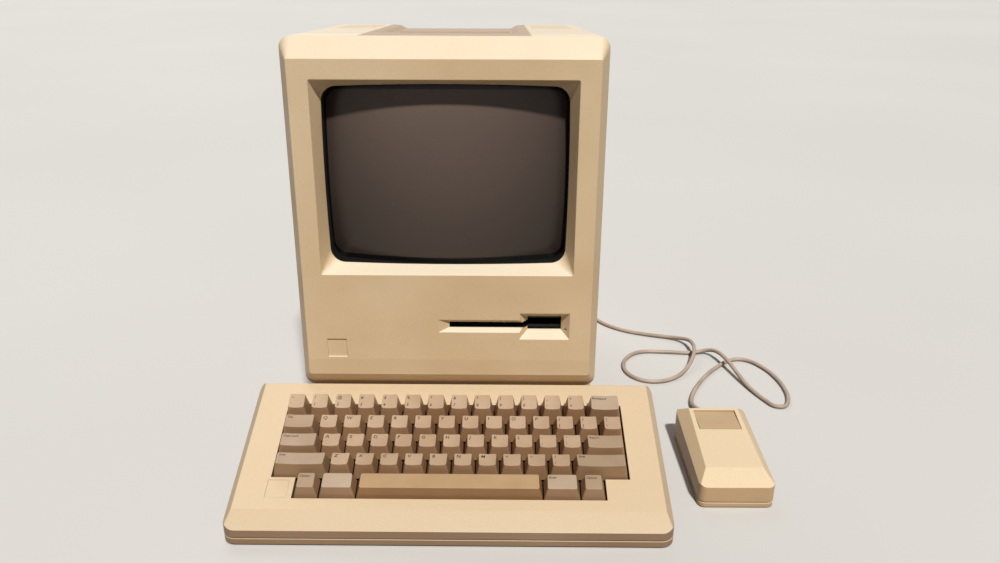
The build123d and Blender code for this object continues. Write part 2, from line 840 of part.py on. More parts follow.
def chassis_frame():
    """Bent sheet frame: two side plates, a shelf for the drive and flanges under the logic board."""
    w = frame_half_width
    s = sheet_steel
    frame = block((-w, w), (frame_front, frame_rear), (shelf_height, shelf_height + s))
    for side in (-1, 1):
        xs = sorted((side * w, side * (w - s)))
        frame += block(xs, (frame_front, frame_rear), (inner_floor, shelf_height + s))
        xs = sorted((side * w, side * (w - flange_width)))
        frame += block(xs, (frame_front, frame_rear), (frame_floor, frame_floor + s))
        frame += block(xs, (frame_front, frame_rear), (inner_floor, inner_floor + s))
    frame += block((-w, -w + s), (frame_front, frame_rear), (shelf_height, shelf_height + 40))
    for x, z in case_screw_places():
        reach = side_screw_inset
        top = shelf_height + 0.5 if z > shelf_height / 2 else z + 6
        frame += block((x - reach, x + reach), (frame_rear - chassis_tab_depth, frame_rear), (z - 6, top))
    for x, z in case_screw_places():
        frame -= rod(
            case_screw_radius + screw_hole_play, (x, frame_rear + 1, z), (x, frame_rear - chassis_tab_depth - 1, z)
        )
    return frame


def logic_board():
    z = frame_floor + sheet_steel
    return block((-logic_width / 2, logic_width / 2), (frame_front + 5, logic_rear), (z, z + board_thickness))


def logic_chips():
    """Processor, ROMs, memory rows and small logic, as separate packages on the board."""
    z = frame_floor + sheet_steel + board_thickness
    chips = [block((-30, 50), (-20, 2), (z, z + 5))]
    for index in range(2):
        chips.append(block((-88 + index * 44, -52 + index * 44), (-60, -45), (z, z + 4)))
    for row in range(2):
        for column in range(8):
            x = 5 + column * 11.5
            chips.append(block((x, x + 7.5), (-68 + row * 24, -49 + row * 24), (z, z + 4)))
    for row in range(3):
        for column in range(7):
            x = -90 + column * 26
            chips.append(block((x, x + 19), (14 + row * 24, 21.5 + row * 24), (z, z + 4)))
    return Compound(chips)


def d_port(x, width):
    """One D-shaped port: block on the board, flange in the case's cut-out and shell standing proud."""
    base = frame_floor + sheet_steel + board_thickness
    flange_half = (width + port_flange_extra) / 2
    half = port_height_size / 2
    port = block((x - flange_half + 3, x + flange_half - 3), (logic_rear - 12, rear_y - case_wall), (base, port_z + half))
    port += block((x - flange_half, x + flange_half), (rear_y - case_wall, rear_y - 1.5), (port_z - half, port_z + half))
    shell = Pos(x, rear_y - 1.5, port_z) * Rot(90, 0, 0) * Pos(0, 0, -1.5 - port_proud) * extrude(
        d_outline(width), 1.5 + port_proud
    )
    port += shell
    for side in (-1, 1):
        sx = x + side * (width / 2 + 4)
        port += rod(2.2, (sx, rear_y - 1.5, port_z), (sx, rear_y - 0.2, port_z))
    return port


def d_outline(width):
    """The D shape of a port: its lower edge is the shorter one."""
    w = width / 2
    h = port_shell_height / 2
    inset = port_shell_height * tan(radians(10))
    outline = make_face(Polyline([(-w, h), (w, h), (w - inset, -h), (-w + inset, -h)], close=True))
    return fillet(outline.vertices(), 1.6)


def rear_ports():
    ports = [d_port(x, width) for x, width in port_places]
    base = frame_floor + sheet_steel + board_thickness
    audio = block((audio_x - 6, audio_x + 6), (logic_rear - 8, rear_y - case_wall - 1), (base, port_z + 5.5))
    audio += rod(4, (audio_x, rear_y - case_wall - 1, port_z), (audio_x, rear_y, port_z))
    audio -= rod(1.75, (audio_x, logic_rear, port_z), (audio_x, rear_y + 1, port_z))
    return Compound(ports + [audio])


def analog_board():
    x = -frame_half_width - board_thickness
    return block(
        (x, x + board_thickness), (frame_front + 20, frame_rear), (analog_bottom, analog_bottom + analog_height)
    )


def analog_parts():
    """Heat sinks, transformer and capacitors on the analog board."""
    x = -frame_half_width
    parts = [flyback_transformer()]
    heights = analog_bottom + analog_height
    parts.append(block((x, x + 32), (60, 100), (heights - 60, heights - 18)))
    parts.append(block((x, x + 28), (10, 45), (heights - 58, heights - 50)))
    parts.append(block((x, x + 30), (-40, -10), (heights - 60, heights - 48)))
    for index in range(5):
        y = -30 + index * 26
        parts.append(rod(7, (x, y, shelf_height + 56), (x + 30, y, shelf_height + 56)))
    return Compound(parts)


def flyback_transformer():
    x = -frame_half_width
    top = analog_bottom + analog_height - 84
    body = block((x, x + 38), (-20, 18), (top - 40, top))
    core = block((x + 8, x + 26), (-26, 24), (top - 26, top - 14))
    return body + core + rod(9, (x + 19, -1, top - 0.5), (x + 19, -1, top + 14))


def anode_points():
    """Route of the high-voltage lead: from the transformer's top to the cap on the tube's funnel."""
    x = -frame_half_width + 19
    top = analog_bottom + analog_height - 70
    cap, way = anode_seat()
    return [
        Vector(x, -1, top),
        Vector(x, -1, top + 45),
        Vector(-70, -22, top + 76),
        cap + way * 20,
        cap + way * anode_cap_height,
    ]


def anode_seat():
    """Where the lead's cap sits on the top of the funnel, and the way that it faces."""
    depth = tube_shoulder + anode_back
    fall = (tube_height - tube_waist) / 2 / (tube_waist_depth - tube_shoulder)
    up = screen_middle + tube_height / 2 - (depth - tube_shoulder) * fall
    tip = atan(fall)
    way = face.y_dir * cos(tip) - face.z_dir * sin(tip)
    return face_point(anode_inset - tube_width / 2, up, depth), way


def anode_lead():
    points = anode_points()
    path = FilletPolyline(points, radius=[min(anode_bend, room) for room in fillet_radii(points)])
    wire = sweep(Plane(origin=path @ 0, z_dir=path % 0) * Circle(2.0), path=path)
    cap, way = anode_seat()
    return wire + rod(9, tuple(cap), tuple(cap + way * (anode_cap_height + 0.2)))


def speaker():
    """Round loudspeaker on the inside of the face."""
    basket = Cylinder(speaker_radius, speaker_rim, align=(Align.CENTER, Align.CENTER, Align.MAX))
    cone_depth = (speaker_depth - speaker_rim) / 2
    cone = Pos(0, 0, -speaker_rim - cone_depth / 2) * Cone(speaker_magnet_radius, speaker_radius - 2, cone_depth)
    magnet = Pos(0, 0, -speaker_depth + cone_depth / 2) * Cylinder(speaker_magnet_radius, cone_depth)
    return on_face(Pos(speaker_x, speaker_height, -case_wall) * (basket + cone + magnet))


def power_entry_frame():
    """One moulding that holds the mains inlet and the seat of the rocker."""
    frame = block(
        (entry_x - entry_width / 2, entry_x + entry_width / 2), (rear_y, rear_y + entry_flange), (entry_bottom, entry_top)
    )
    half = entry_body_width / 2 - gap
    frame += block(
        (entry_x - half, entry_x + half), (rear_y - entry_depth, rear_y + 0.5),
        (entry_bottom + entry_flange + gap, entry_top - entry_flange - gap),
    )
    mouth = rear_y + entry_flange
    frame -= block(
        (entry_x - inlet_width / 2, entry_x + inlet_width / 2), (mouth - inlet_depth, mouth + 1),
        (inlet_z - inlet_height / 2, inlet_z + inlet_height / 2),
    )
    for dx, dz in ((-7, -1.5), (0, 2.5), (7, -1.5)):
        frame += block(
            (entry_x + dx - inlet_pin / 2, entry_x + dx + inlet_pin / 2), (mouth - inlet_depth - 1, mouth - 5.5),
            (inlet_z + dz - inlet_pin, inlet_z + dz + inlet_pin),
        )
    frame -= block(
        (entry_x - switch_width / 2, entry_x + switch_width / 2), (mouth - switch_well, mouth + 1),
        (switch_z - switch_height / 2, switch_z + switch_height / 2),
    )
    pivot_y = mouth - 4
    reach = switch_width / 2 + 2
    frame -= rod(rocker_pin + running_fit, (entry_x - reach, pivot_y, switch_z), (entry_x + reach, pivot_y, switch_z))
    return frame


def power_switch():
    """The rocker, tipped to its off side."""
    pivot_y = rear_y + entry_flange - 4
    half = switch_width / 2 - gap
    profile = [(-5, -6), (3.4, -9.0), (4.6, -8.6), (2.6, 0), (4.6, 8.6), (3.4, 9.0), (-5, 6)]
    rocker = prism_x(profile, half)
    rocker += rod(rocker_pin, (-half - 1.6, 0, 0), (half + 1.6, 0, 0))
    return Pos(entry_x, pivot_y, switch_z) * Rot(rocker_swing, 0, 0) * rocker


def brightness_knob():
    front = toe_y - gap - wheel_thickness
    knob = rod(wheel_radius, (wheel_x, front, wheel_z), (wheel_x, toe_y - gap, wheel_z))
    for index in range(wheel_grooves):
        place = PolarLocations(wheel_radius, 1, start_angle=index * 360 / wheel_grooves).locations[0].position
        x, z = wheel_x + place.X, wheel_z + place.Y
        knob -= rod(groove_radius, (x, front - 1, z), (x, toe_y, z))
    return knob + rod(wheel_shaft, (wheel_x, front + 1, wheel_z), (wheel_x, toe_y + case_wall + pot_length - 2, wheel_z))


def brightness_pot():
    y = toe_y + case_wall
    body = rod(pot_radius, (wheel_x, y, wheel_z), (wheel_x, y + pot_length, wheel_z))
    return body - rod(wheel_shaft + running_fit, (wheel_x, y - 1, wheel_z), (wheel_x, y + pot_length - 1.5, wheel_z))


def jack(x, front, z, outward):
    """A modular jack; outward is +1 or -1 along y, the way its mouth faces."""
    far = front - outward * jack_depth
    body = block((x - jack_width / 2 + 0.1, x + jack_width / 2 - 0.1), sorted((front, far)), (z - jack_height / 2 + 0.1, z + jack_height / 2 - 0.1))
    body -= block(
        (x - jack_mouth / 2, x + jack_mouth / 2), sorted((front + outward, front - outward * jack_mouth_depth)),
        (z - jack_mouth_height / 2, z + jack_mouth_height / 2),
    )
    body -= block((x - 2.1, x + 2.1), sorted((front + outward, front - outward * 6)), (z - jack_mouth_height / 2 - 2, z))
    return body


# ---------------------------------------------------------------- disk drive

drive_front = face_y + slot_height * sin(lean) + drive_front_gap
drive_floor = shelf_height + sheet_steel
drive_left = drive_x - drive_width / 2
carriage_y = drive_front + drive_length * 0.62
screw_x = drive_x + 26
screw_z = drive_floor + 14


def drive_frame():
    """Tray with a slotted front plate and two rails for the heads, and its cover."""
    rear = drive_front + drive_length
    top = drive_floor + drive_height
    xs = (drive_left, drive_left + drive_width)
    frame = block(xs, (drive_front, rear), (drive_floor, drive_floor + 2))
    frame += block(xs, (drive_front, drive_front + 2), (drive_floor, top))
    frame += block((xs[0], xs[0] + 2), (drive_front, rear), (drive_floor, top))
    frame += block((xs[1] - 2, xs[1]), (drive_front, rear), (drive_floor, top))
    frame -= block(
        (drive_x - drive_slot_width / 2, drive_x + drive_slot_width / 2), (drive_front - 1, drive_front + 3),
        (slot_z - drive_slot / 2, slot_z + drive_slot / 2),
    )
    frame += block(xs, (rear - 2, rear), (drive_floor, drive_floor + 24))
    for x in (drive_x - 9, drive_x + 9):
        frame += rod(rail_radius, (x, carriage_y - 30, screw_z), (x, rear - 1, screw_z))
        frame += block((x - 4, x + 4), (carriage_y - 32, carriage_y - 27), (drive_floor + 1, screw_z + 4))
    spindle_y = drive_front + drive_length * 0.28
    frame -= rod(spindle_shaft + running_fit, (drive_x, spindle_y, drive_floor - 1), (drive_x, spindle_y, drive_floor + 3))
    frame += block((screw_x - 5, screw_x + 5), (carriage_y - 12, carriage_y - 8), (drive_floor + 1, screw_z + 5))
    frame -= rod(screw_radius + running_fit, (screw_x, carriage_y - 13, screw_z), (screw_x, carriage_y - 7, screw_z))
    cover = block(xs, (drive_front, rear), (top, top + 1.2))
    return Compound([frame, cover])


def drive_spindle():
    y = drive_front + drive_length * 0.28
    hub = rod(spindle_radius, (drive_x, y, drive_floor + 2 + gap), (drive_x, y, drive_floor + 2 + spindle_height))
    return hub + rod(spindle_shaft, (drive_x, y, drive_floor + gap), (drive_x, y, drive_floor + spindle_height + 5))


def drive_head_carriage():
    """Carries the head along two rails; its arm reaches the lead screw."""
    half = carriage_width / 2
    body = block((drive_x - half, drive_x + half), (carriage_y - 26, carriage_y - 26 + carriage_length),
                 (screw_z - carriage_height / 2, screw_z + carriage_height / 2))
    body += block((drive_x - 3, drive_x + 3), (carriage_y - 26 - 14, carriage_y - 24), (screw_z + 3, screw_z + 6))
    body += block((drive_x + half - 1, screw_x + 5), (carriage_y - 7.5, carriage_y - 4), (screw_z - 4, screw_z + 4))
    body -= rod(screw_radius + running_fit, (screw_x, carriage_y - 8, screw_z), (screw_x, carriage_y - 3, screw_z))
    for x in (drive_x - 9, drive_x + 9):
        body -= rod(rail_radius + running_fit, (x, carriage_y - 40, screw_z), (x, carriage_y + 40, screw_z))
    return body


def drive_lead_screw():
    return rod(screw_radius, (screw_x, carriage_y - 14, screw_z), (screw_x, carriage_y - 14 + screw_length, screw_z))


def drive_stepper_motor():
    rear = drive_front + drive_length - 2
    body = rod(stepper_radius, (screw_x, rear - stepper_length, screw_z), (screw_x, rear, screw_z))
    return body - rod(screw_radius + running_fit, (screw_x, rear - stepper_length - 1, screw_z), (screw_x, rear - 2, screw_z))


# ---------------------------------------------------------------- screws

def screw(seat, way, length):
    """A pan-head screw: its head stands on the seat and its shank points along way."""
    shank = rod(case_screw_radius, tuple(seat - way * 0.5), tuple(seat + way * length))
    head = rod(case_screw_head, tuple(seat - way * case_screw_head_height), tuple(seat))
    slot = rod(1.2, tuple(seat - way * (case_screw_head_height + 1)), tuple(seat - way * 1.5))
    return head + shank - slot


def computer_screws():
    """Four screws through the back of the case and four through the ears of the tube's band."""
    screws = []
    seat_y = rear_y - case_screw_head_height - 1
    for x, z in case_screw_places():
        screws.append(screw(Vector(x, seat_y, z), Vector(0, -1, 0), case_screw_length))
    for x, up in tube_ears():
        seat = face_point(x, up, band_start + band_thickness)
        screws.append(screw(seat, face.z_dir, ear_screw_length))
    return Compound(screws)


# ---------------------------------------------------------------- keyboard

def deck_z(y):
    """Height of the keyboard's sloping top, y mm behind its front."""
    return keyboard_band_height + (y - keyboard_band_depth) * tan(slope)


slope = radians(keyboard_slope)
keys_start = well_front + well_front_margin
keyboard_place = Pos(keyboard_x, keyboard_front, 0)
deck = Plane(origin=(0, keys_start, deck_z(keys_start)), x_dir=(1, 0, 0), z_dir=(0, -sin(slope), cos(slope)))
block_width = sum(row_widths[1]) * key_pitch
front_block_width = sum(row_widths[0]) * key_pitch
block_depth = len(row_widths) * key_pitch
plate_low = -switch_plate_depth - sheet_steel
board_top = plate_low - switch_drop


def on_deck(shape):
    """Carries a shape drawn above the keyboard's sloping top (x, distance up the slope, height) into place."""
    return keyboard_place * deck.location * shape


def keyboard_form(inset=0.0):
    """The keyboard's outer form, or the same form moved inward by inset, in the keyboard's own place."""
    low = keyboard_base_gap + inset
    back = keyboard_depth - inset
    rear_top = deck_z(keyboard_depth - keyboard_back_bevel) - inset
    profile = [
        (inset, low),
        (inset, keyboard_nose - 0.6 * inset),
        (keyboard_band_depth + 0.2 * inset, keyboard_band_height - inset),
        (keyboard_depth - keyboard_back_bevel, rear_top),
        (back, rear_top - keyboard_back_bevel),
        (back, low),
    ]
    form = prism_x(profile, keyboard_width / 2 - inset)
    plan = RectangleRounded(keyboard_width - 2 * inset, keyboard_depth - 2 * inset, keyboard_corner - inset)
    form &= extrude(Pos(0, keyboard_depth / 2, 0) * plan, 2 * rear_top)
    edge = keyboard_width / 2 - keyboard_side_bevel - inset
    reach = keyboard_side_bevel + cut_over
    for side in (-1, 1):
        wedge = make_face(Polyline([
            (side * (edge - reach), 0, reach - inset),
            (side * (edge + reach), 0, -reach - inset),
            (side * (edge + reach), 0, reach - inset),
        ], close=True))
        form -= deck.location * extrude(wedge, 2 * keyboard_depth, dir=(0, 1, 0), both=True)
    return form


def keyboard_groove():
    """The shadow line between the keyboard's two shells."""
    half = seam_width / 2
    slab = block(
        (-keyboard_width, keyboard_width), (-cut_over, 2 * keyboard_depth),
        (keyboard_seam - half, keyboard_seam + half),
    )
    return (keyboard_form() & slab) - keyboard_form(seam_sink)


def key_well(margin, low, high):
    """The stepped opening round the keys, between two heights above the deck."""
    wide = block_width / 2 + margin
    narrow = front_block_width / 2 + margin
    well = block((-wide, wide), (key_pitch - margin, block_depth + margin), (low, high))
    return well + block((-narrow, narrow), (-well_front_margin - margin + well_margin, key_pitch), (low, high))


def plate_posts():
    """Where the key plate hangs from the upper shell: (x, distance up the slope)."""
    x = block_width / 2 + plate_edge - plate_post_radius - 1
    ups = (1.3 * key_pitch, 3 * key_pitch, block_depth - 3)
    return [(side * x, up) for side in (-1, 1) for up in ups]


def keyboard_top_case():
    shell = keyboard_form() - keyboard_form(keyboard_wall)
    shell -= block(
        (-keyboard_width, keyboard_width), (-cut_over, 2 * keyboard_depth), (-cut_over, keyboard_seam)
    )
    shell -= keyboard_groove()
    rim = key_well(well_margin + well_rim, -well_rim_depth, -keyboard_wall + 0.5)
    for x, up in plate_posts():
        rim += Pos(x, up, -(switch_plate_depth + keyboard_wall - 0.5) / 2) * Cylinder(
            plate_post_radius, switch_plate_depth - keyboard_wall + 0.5
        )
    rim -= key_well(well_margin, -keyboard_depth, cut_over)
    half = keyboard_emblem / 2
    emblem = block(
        (keyboard_emblem_x - half, keyboard_emblem_x + half),
        (keyboard_emblem_up - half, keyboard_emblem_up + half), (-keyboard_emblem_sink, cut_over),
    )
    opening = key_well(well_margin, -keyboard_wall - 1, cut_over)
    shell = shell + deck.location * rim - deck.location * opening - deck.location * emblem
    shell -= block(
        (socket_x - jack_width / 2, socket_x + jack_width / 2), (keyboard_depth - 2 * keyboard_wall, keyboard_depth + 1),
        (socket_z - jack_height / 2, socket_z + jack_height / 2),
    )
    return keyboard_place * shell


def keyboard_bottom_case():
    shell = keyboard_form() - keyboard_form(keyboard_wall)
    shell &= block(
        (-keyboard_width, keyboard_width), (-cut_over, 2 * keyboard_depth), (-cut_over, keyboard_seam)
    )
    shell -= keyboard_groove()
    floor = keyboard_base_gap + keyboard_wall
    half = board_post / 2
    posts = []
    for x in (-block_width / 3, 0, block_width / 3):
        for up in (key_pitch, block_depth - key_pitch):
            under = deck.from_local_coords(Vector(x, up, board_top - board_thickness))
            posts.append(block((x - half, x + half), (under.Y - half, under.Y + half), (floor - 0.5, under.Z + half)))
    above = block(
        (-block_width, block_width), (-block_depth, 2 * block_depth), (board_top - board_thickness, board_top + 20)
    )
    for post in posts:
        shell += post - deck.location * above
    ledge = block(
        (socket_x - jack_width / 2 - 3, socket_x + jack_width / 2 + 3),
        (keyboard_depth - jack_depth - 4, keyboard_depth - keyboard_wall - 1),
        (floor - 0.5, socket_z - jack_height / 2 + 0.1),
    )
    return keyboard_place * (shell + ledge)


def keyboard_feet():
    feet = []
    for x in (-1, 1):
        for y in (keyboard_foot_inset, keyboard_depth - keyboard_foot_inset):
            feet.append(rod(
                keyboard_foot_radius,
                (x * (keyboard_width / 2 - keyboard_foot_inset), y, 0),
                (x * (keyboard_width / 2 - keyboard_foot_inset), y, keyboard_base_gap),
            ))
    return keyboard_place * Compound(feet)


def key_places():
    """Every key as (row, width in pitches, x of its middle, distance of its middle up the slope)."""
    places = []
    for row, widths in enumerate(row_widths):
        x = -sum(widths) * key_pitch / 2
        for width in widths:
            places.append((row, width, x + width * key_pitch / 2, (row + 0.5) * key_pitch))
            x += width * key_pitch
    return places


def keyboard_plate():
    """Steel plate that carries the switches."""
    half = block_width / 2 + plate_edge
    plate = block((-half, half), (-2, block_depth + 4), (plate_low, -switch_plate_depth))
    hole = switch_body + 2 * gap
    holes = []
    for _, _, x, up in key_places():
        holes.append(Pos(x, up, plate_low) * Box(hole, hole, 4 * sheet_steel))
    return on_deck(plate - Compound(holes))


def switch():
    """One key switch: flange on the plate, body through it, square bore for the key's stem."""
    flange = Pos(0, 0, -switch_plate_depth + switch_rise / 2) * Box(switch_size, switch_size, switch_rise)
    body_top = -switch_plate_depth + 0.5
    body = Pos(0, 0, (body_top + board_top) / 2) * Box(switch_body, switch_body, body_top - board_top)
    bore = key_stem + 2 * key_stem_gap
    low = board_top + switch_floor
    high = cut_over - switch_plate_depth + switch_rise
    return flange + body - Pos(0, 0, (low + high) / 2) * Box(bore, bore, high - low)


def key_switches():
    one = switch()
    return on_deck(Compound([Pos(x, up, 0) * one for _, _, x, up in key_places()]))


def keyboard_board():
    half = block_width / 2 + 4
    return on_deck(block((-half, half), (-1, block_depth + 1), (board_top - board_thickness, board_top)))


def cap_form(row, width, inset):
    """A key's outer form, or the hollow under it, about the middle of its place on the deck."""
    half = (width * key_pitch - (key_pitch - key_base)) / 2 - inset
    depth = key_base / 2 - inset
    foot = -key_skirt - (1 if inset else 0)
    rise = row_heights[row] - inset
    tilt = tan(radians(row_tilts[row]))
    front = -depth + key_lean_front
    back = depth - key_lean_back
    tall = rise + (back - front) * max(tilt, 0) + 1
    side = make_face(Polyline([
        (0, -depth, foot), (0, front, rise), (0, back, rise + (back - front) * tilt), (0, depth, foot),
    ], close=True))
    lean = key_lean_side * (tall - foot) / (row_heights[row] + key_skirt)
    across = make_face(Polyline([
        (-half, 0, foot), (half, 0, foot), (half - lean, 0, tall), (-half + lean, 0, tall),
    ], close=True))
    form = extrude(side, 2 * half, dir=(1, 0, 0), both=True) & extrude(across, key_pitch, dir=(0, 1, 0), both=True)
    return form


def key_cap(row, width):
    """One key: hollow cap with rounded corners, dished top and the stem that runs in its switch."""
    form = cap_form(row, width, 0)
    corners = [edge for edge in form.edges() if abs(edge.tangent_at(0).Z) > 0.7]
    cap = fillet(corners, key_corner)
    rise = row_heights[row]
    if row > 0:
        half = width * key_pitch / 2 - key_lean_side - 0.5
        radius = half * half / (2 * key_dish_sink) + key_dish_sink / 2
        front = -key_base / 2 + key_lean_front
        axis = Pos(0, front, rise) * Rot(row_tilts[row], 0, 0) * Pos(0, 0, radius - key_dish_sink) * Rot(90, 0, 0)
        cap -= axis * Cylinder(radius, 4 * key_base)
    cap -= cap_form(row, width, key_wall)
    middle = (key_base - key_lean_front - key_lean_back) / 2 - 1
    stem_top = rise + middle * tan(radians(row_tilts[row])) - (key_wall + key_dish_sink) / 2
    stem_foot = -switch_plate_depth - stem_reach
    cap += Pos(0, 0, (stem_top + stem_foot) / 2) * Box(key_stem, key_stem, stem_top - stem_foot)
    return cap


def key_groups():
    """Keys by node name: wide keys singly, the ordinary keys of a row together."""
    singles = {
        (0, 1): "key_command", (0, 2): "key_space", (0, 3): "key_enter",
        (1, 0): "key_shift_left", (1, 11): "key_shift_right",
        (2, 0): "key_caps_lock", (2, 12): "key_return",
        (3, 0): "key_tab", (4, 13): "key_backspace",
    }
    rows = ("keys_option", "keys_bottom_row", "keys_home_row", "keys_top_row", "keys_number_row")
    caps = {}
    groups = {}
    column = 0
    last_row = -1
    for row, width, x, up in key_places():
        column = column + 1 if row == last_row else 0
        last_row = row
        if (row, width) not in caps:
            caps[(row, width)] = key_cap(row, width)
        name = singles.get((row, column), rows[row])
        groups.setdefault(name, []).append(on_deck(Pos(x, up, 0) * caps[(row, width)]))
    return {name: solids[0] if len(solids) == 1 else Compound(solids) for name, solids in groups.items()}


# ---------------------------------------------------------------- mouse

mouse_place = Pos(mouse_x, mouse_y, 0) * Rot(0, 0, mouse_turn)
mouse_floor = mouse_base_gap + mouse_wall


def mouse_top_z(y):
    """Height of the mouse's main top plane."""
    rise = (mouse_height - mouse_palm_top) / (mouse_top_end - mouse_palm_length)
    return mouse_palm_top + (y - mouse_palm_length) * rise


def mouse_shoulder_z(y):
    """Height at which the mouse's side bevels start."""
    return mouse_shoulder_low + (mouse_shoulder_high - mouse_shoulder_low) * y / mouse_length


def mouse_form(inset=0.0):
    """The mouse's outer form, or the same form moved inward by inset."""
    low = mouse_base_gap + inset
    far = mouse_length - inset
    side = prism_x([
        (inset, low),
        (inset, mouse_palm_height - 0.6 * inset),
        (mouse_palm_length + 0.2 * inset, mouse_palm_top - inset),
        (mouse_top_end - 0.3 * inset, mouse_height - inset),
        (far, mouse_nose_height - 0.6 * inset),
        (far, low),
    ], mouse_width)
    half = mouse_width / 2 - inset
    crown = mouse_height + 2
    ends = []
    for y in (-cut_over, mouse_length + cut_over):
        shoulder = mouse_shoulder_z(y) - 0.4 * inset
        ends.append(make_face(Polyline([
            (-half, y, 0), (half, y, 0), (half, y, shoulder), (half - crown + shoulder, y, crown),
            (-half + crown - shoulder, y, crown), (-half, y, shoulder),
        ], close=True)))
    form = side & loft(ends, ruled=True)
    plan = RectangleRounded(mouse_width - 2 * inset, mouse_length - 2 * inset, mouse_corner - inset)
    return form & extrude(Pos(0, mouse_length / 2, 0) * plan, 2 * mouse_height)


def mouse_groove():
    half = seam_width / 2
    slab = block(
        (-mouse_width, mouse_width), (-cut_over, 2 * mouse_length), (mouse_seam - half, mouse_seam + half)
    )
    return (mouse_form() & slab) - mouse_form(seam_sink)


def button_low():
    """A height between the button and what lies under it."""
    return mouse_top_z(button_start) - button_thickness - mouse_wall


def button_pivot():
    """Middle of the button's pin in the mouse's own frame: (y, z)."""
    y = button_start + 2
    return y, mouse_top_z(y) - mouse_wall - button_pin


def mouse_top_shell():
    shell = mouse_form() - mouse_form(mouse_wall)
    shell -= block((-mouse_width, mouse_width), (-cut_over, 2 * mouse_length), (-cut_over, mouse_seam))
    shell -= mouse_groove()
    half = button_width / 2 + button_gap
    y, z = button_pivot()
    for side in (-1, 1):
        xs = sorted((side * half, side * (half + button_lug)))
        shell += block(xs, (y - 3, y + 3), (z - 2.2, mouse_top_z(y - 3) - 0.5))
    shell -= block(
        (-half, half), (button_start - button_gap, button_start + button_length + button_gap),
        (button_low(), mouse_height + 1),
    )
    shell -= rod(button_pin + running_fit, (0.5 - half - button_lug, y, z), (half + button_lug - 0.5, y, z))
    shell -= rod(
        relief_radius + gap, (0, mouse_length - 2 * mouse_wall, relief_height), (0, mouse_length + 1, relief_height)
    )
    return mouse_place * shell


def mouse_button():
    half = button_width / 2
    y, z = button_pivot()
    top = mouse_form() & block(
        (-half, half), (button_start, button_start + button_length), (button_low(), mouse_height + 1)
    )
    top &= mouse_form() - Pos(0, 0, -button_thickness) * mouse_form()
    middle = button_start + button_length / 2
    radius = (button_length / 2) ** 2 / (2 * button_dish) + button_dish / 2
    axis_z = mouse_top_z(middle) + radius - button_dish
    top -= rod(radius, (-half - 1, middle, axis_z), (half + 1, middle, axis_z))
    return mouse_place * (top + rod(button_pin, (-half - 2.5, y, z), (half + 2.5, y, z)))


def roller_y_line():
    """Axis of the roller turned by forward motion: it lies along x behind the ball."""
    y = ball_y + ball_radius + roller_radius + gap
    return (-roller_length / 2, y, ball_radius), (roller_length / 2, y, ball_radius)


def roller_x_line():
    """Axis of the roller turned by sideways motion: it lies along y to the left of the ball."""
    x = -ball_radius - roller_radius - gap
    far = ball_y + roller_lead
    return (x, far - roller_length, ball_radius), (x, far, ball_radius)


def mouse_bottom_shell():
    """Tray with the ball's cage, the roller bearings and four glides."""
    shell = mouse_form() - mouse_form(mouse_wall)
    shell &= block((-mouse_width, mouse_width), (-cut_over, 2 * mouse_length), (-cut_over, mouse_seam))
    shell -= mouse_groove()
    for x in (-1, 1):
        for y in (mouse_glide_inset, mouse_length - mouse_glide_inset):
            place = (x * (mouse_width / 2 - mouse_glide_inset), y)
            shell += rod(mouse_glide_radius, (*place, 0), (*place, mouse_base_gap + 0.5))
    low = mouse_floor - 0.5
    shell += rod(ring_radius + 3, (0, ball_y, low), (0, ball_y, mouse_floor + 1.5))
    shell += rod(ball_radius + cage_gap + cage_wall, (0, ball_y, low), (0, ball_y, ball_radius))
    for start, end in (roller_x_line(), roller_y_line()):
        for tip in (start, end):
            shell += block(
                (tip[0] - roller_post, tip[0] + roller_post), (tip[1] - roller_post, tip[1] + roller_post),
                (low, roller_post_top),
            )
    shell -= rod(ball_radius + cage_gap, (0, ball_y, low - 1), (0, ball_y, roller_post_top + 1))
    shell -= rod(ring_radius + gap, (0, ball_y, -1), (0, ball_y, mouse_floor))
    for start, end in (roller_x_line(), roller_y_line()):
        way = (Vector(*end) - Vector(*start)).normalized()
        between = (Vector(*start) + way * roller_post, Vector(*end) - way * roller_post)
        shell -= rod(roller_radius + running_fit, tuple(Vector(*start) - way * gap), tuple(Vector(*end) + way * gap))
        shell -= rod(roller_radius + 1.2, tuple(between[0]), tuple(between[1]))
    for line, share in ((roller_x_line(), encoder_share_x), (roller_y_line(), encoder_share_y)):
        near, far = encoder_span(*line, share)
        play = (far - near).normalized() * 2 * gap
        shell -= rod(encoder_radius + 2 * gap, tuple(near - play), tuple(far + play))
    for y in (mouse_board_start + 2, mouse_board_start + mouse_board_length - 4):
        shell += block((-18, 18), (y, y + 2), (low, mouse_board_z))
    return mouse_place * shell


def mouse_ball():
    return mouse_place * Pos(0, ball_y, ball_radius) * Sphere(ball_radius)


def mouse_ball_ring():
    """Twist ring that keeps the ball in; two finger grooves across its face."""
    ring = rod(ring_radius, (0, ball_y, mouse_base_gap), (0, ball_y, mouse_floor - 0.1))
    ring -= rod(ring_hole, (0, ball_y, 0), (0, ball_y, mouse_floor + 1))
    for side in (-1, 1):
        x = side * (ring_radius + ring_hole) / 2
        ring -= block((x - 1.5, x + 1.5), (ball_y - 5, ball_y + 5), (0, mouse_base_gap + 0.7))
    return mouse_place * ring


def encoder_span(start, end, share):
    """Where a roller's encoder wheel starts and ends."""
    a, b = Vector(*start), Vector(*end)
    near = a + (b - a) * share
    return near, near + (b - a).normalized() * encoder_thickness


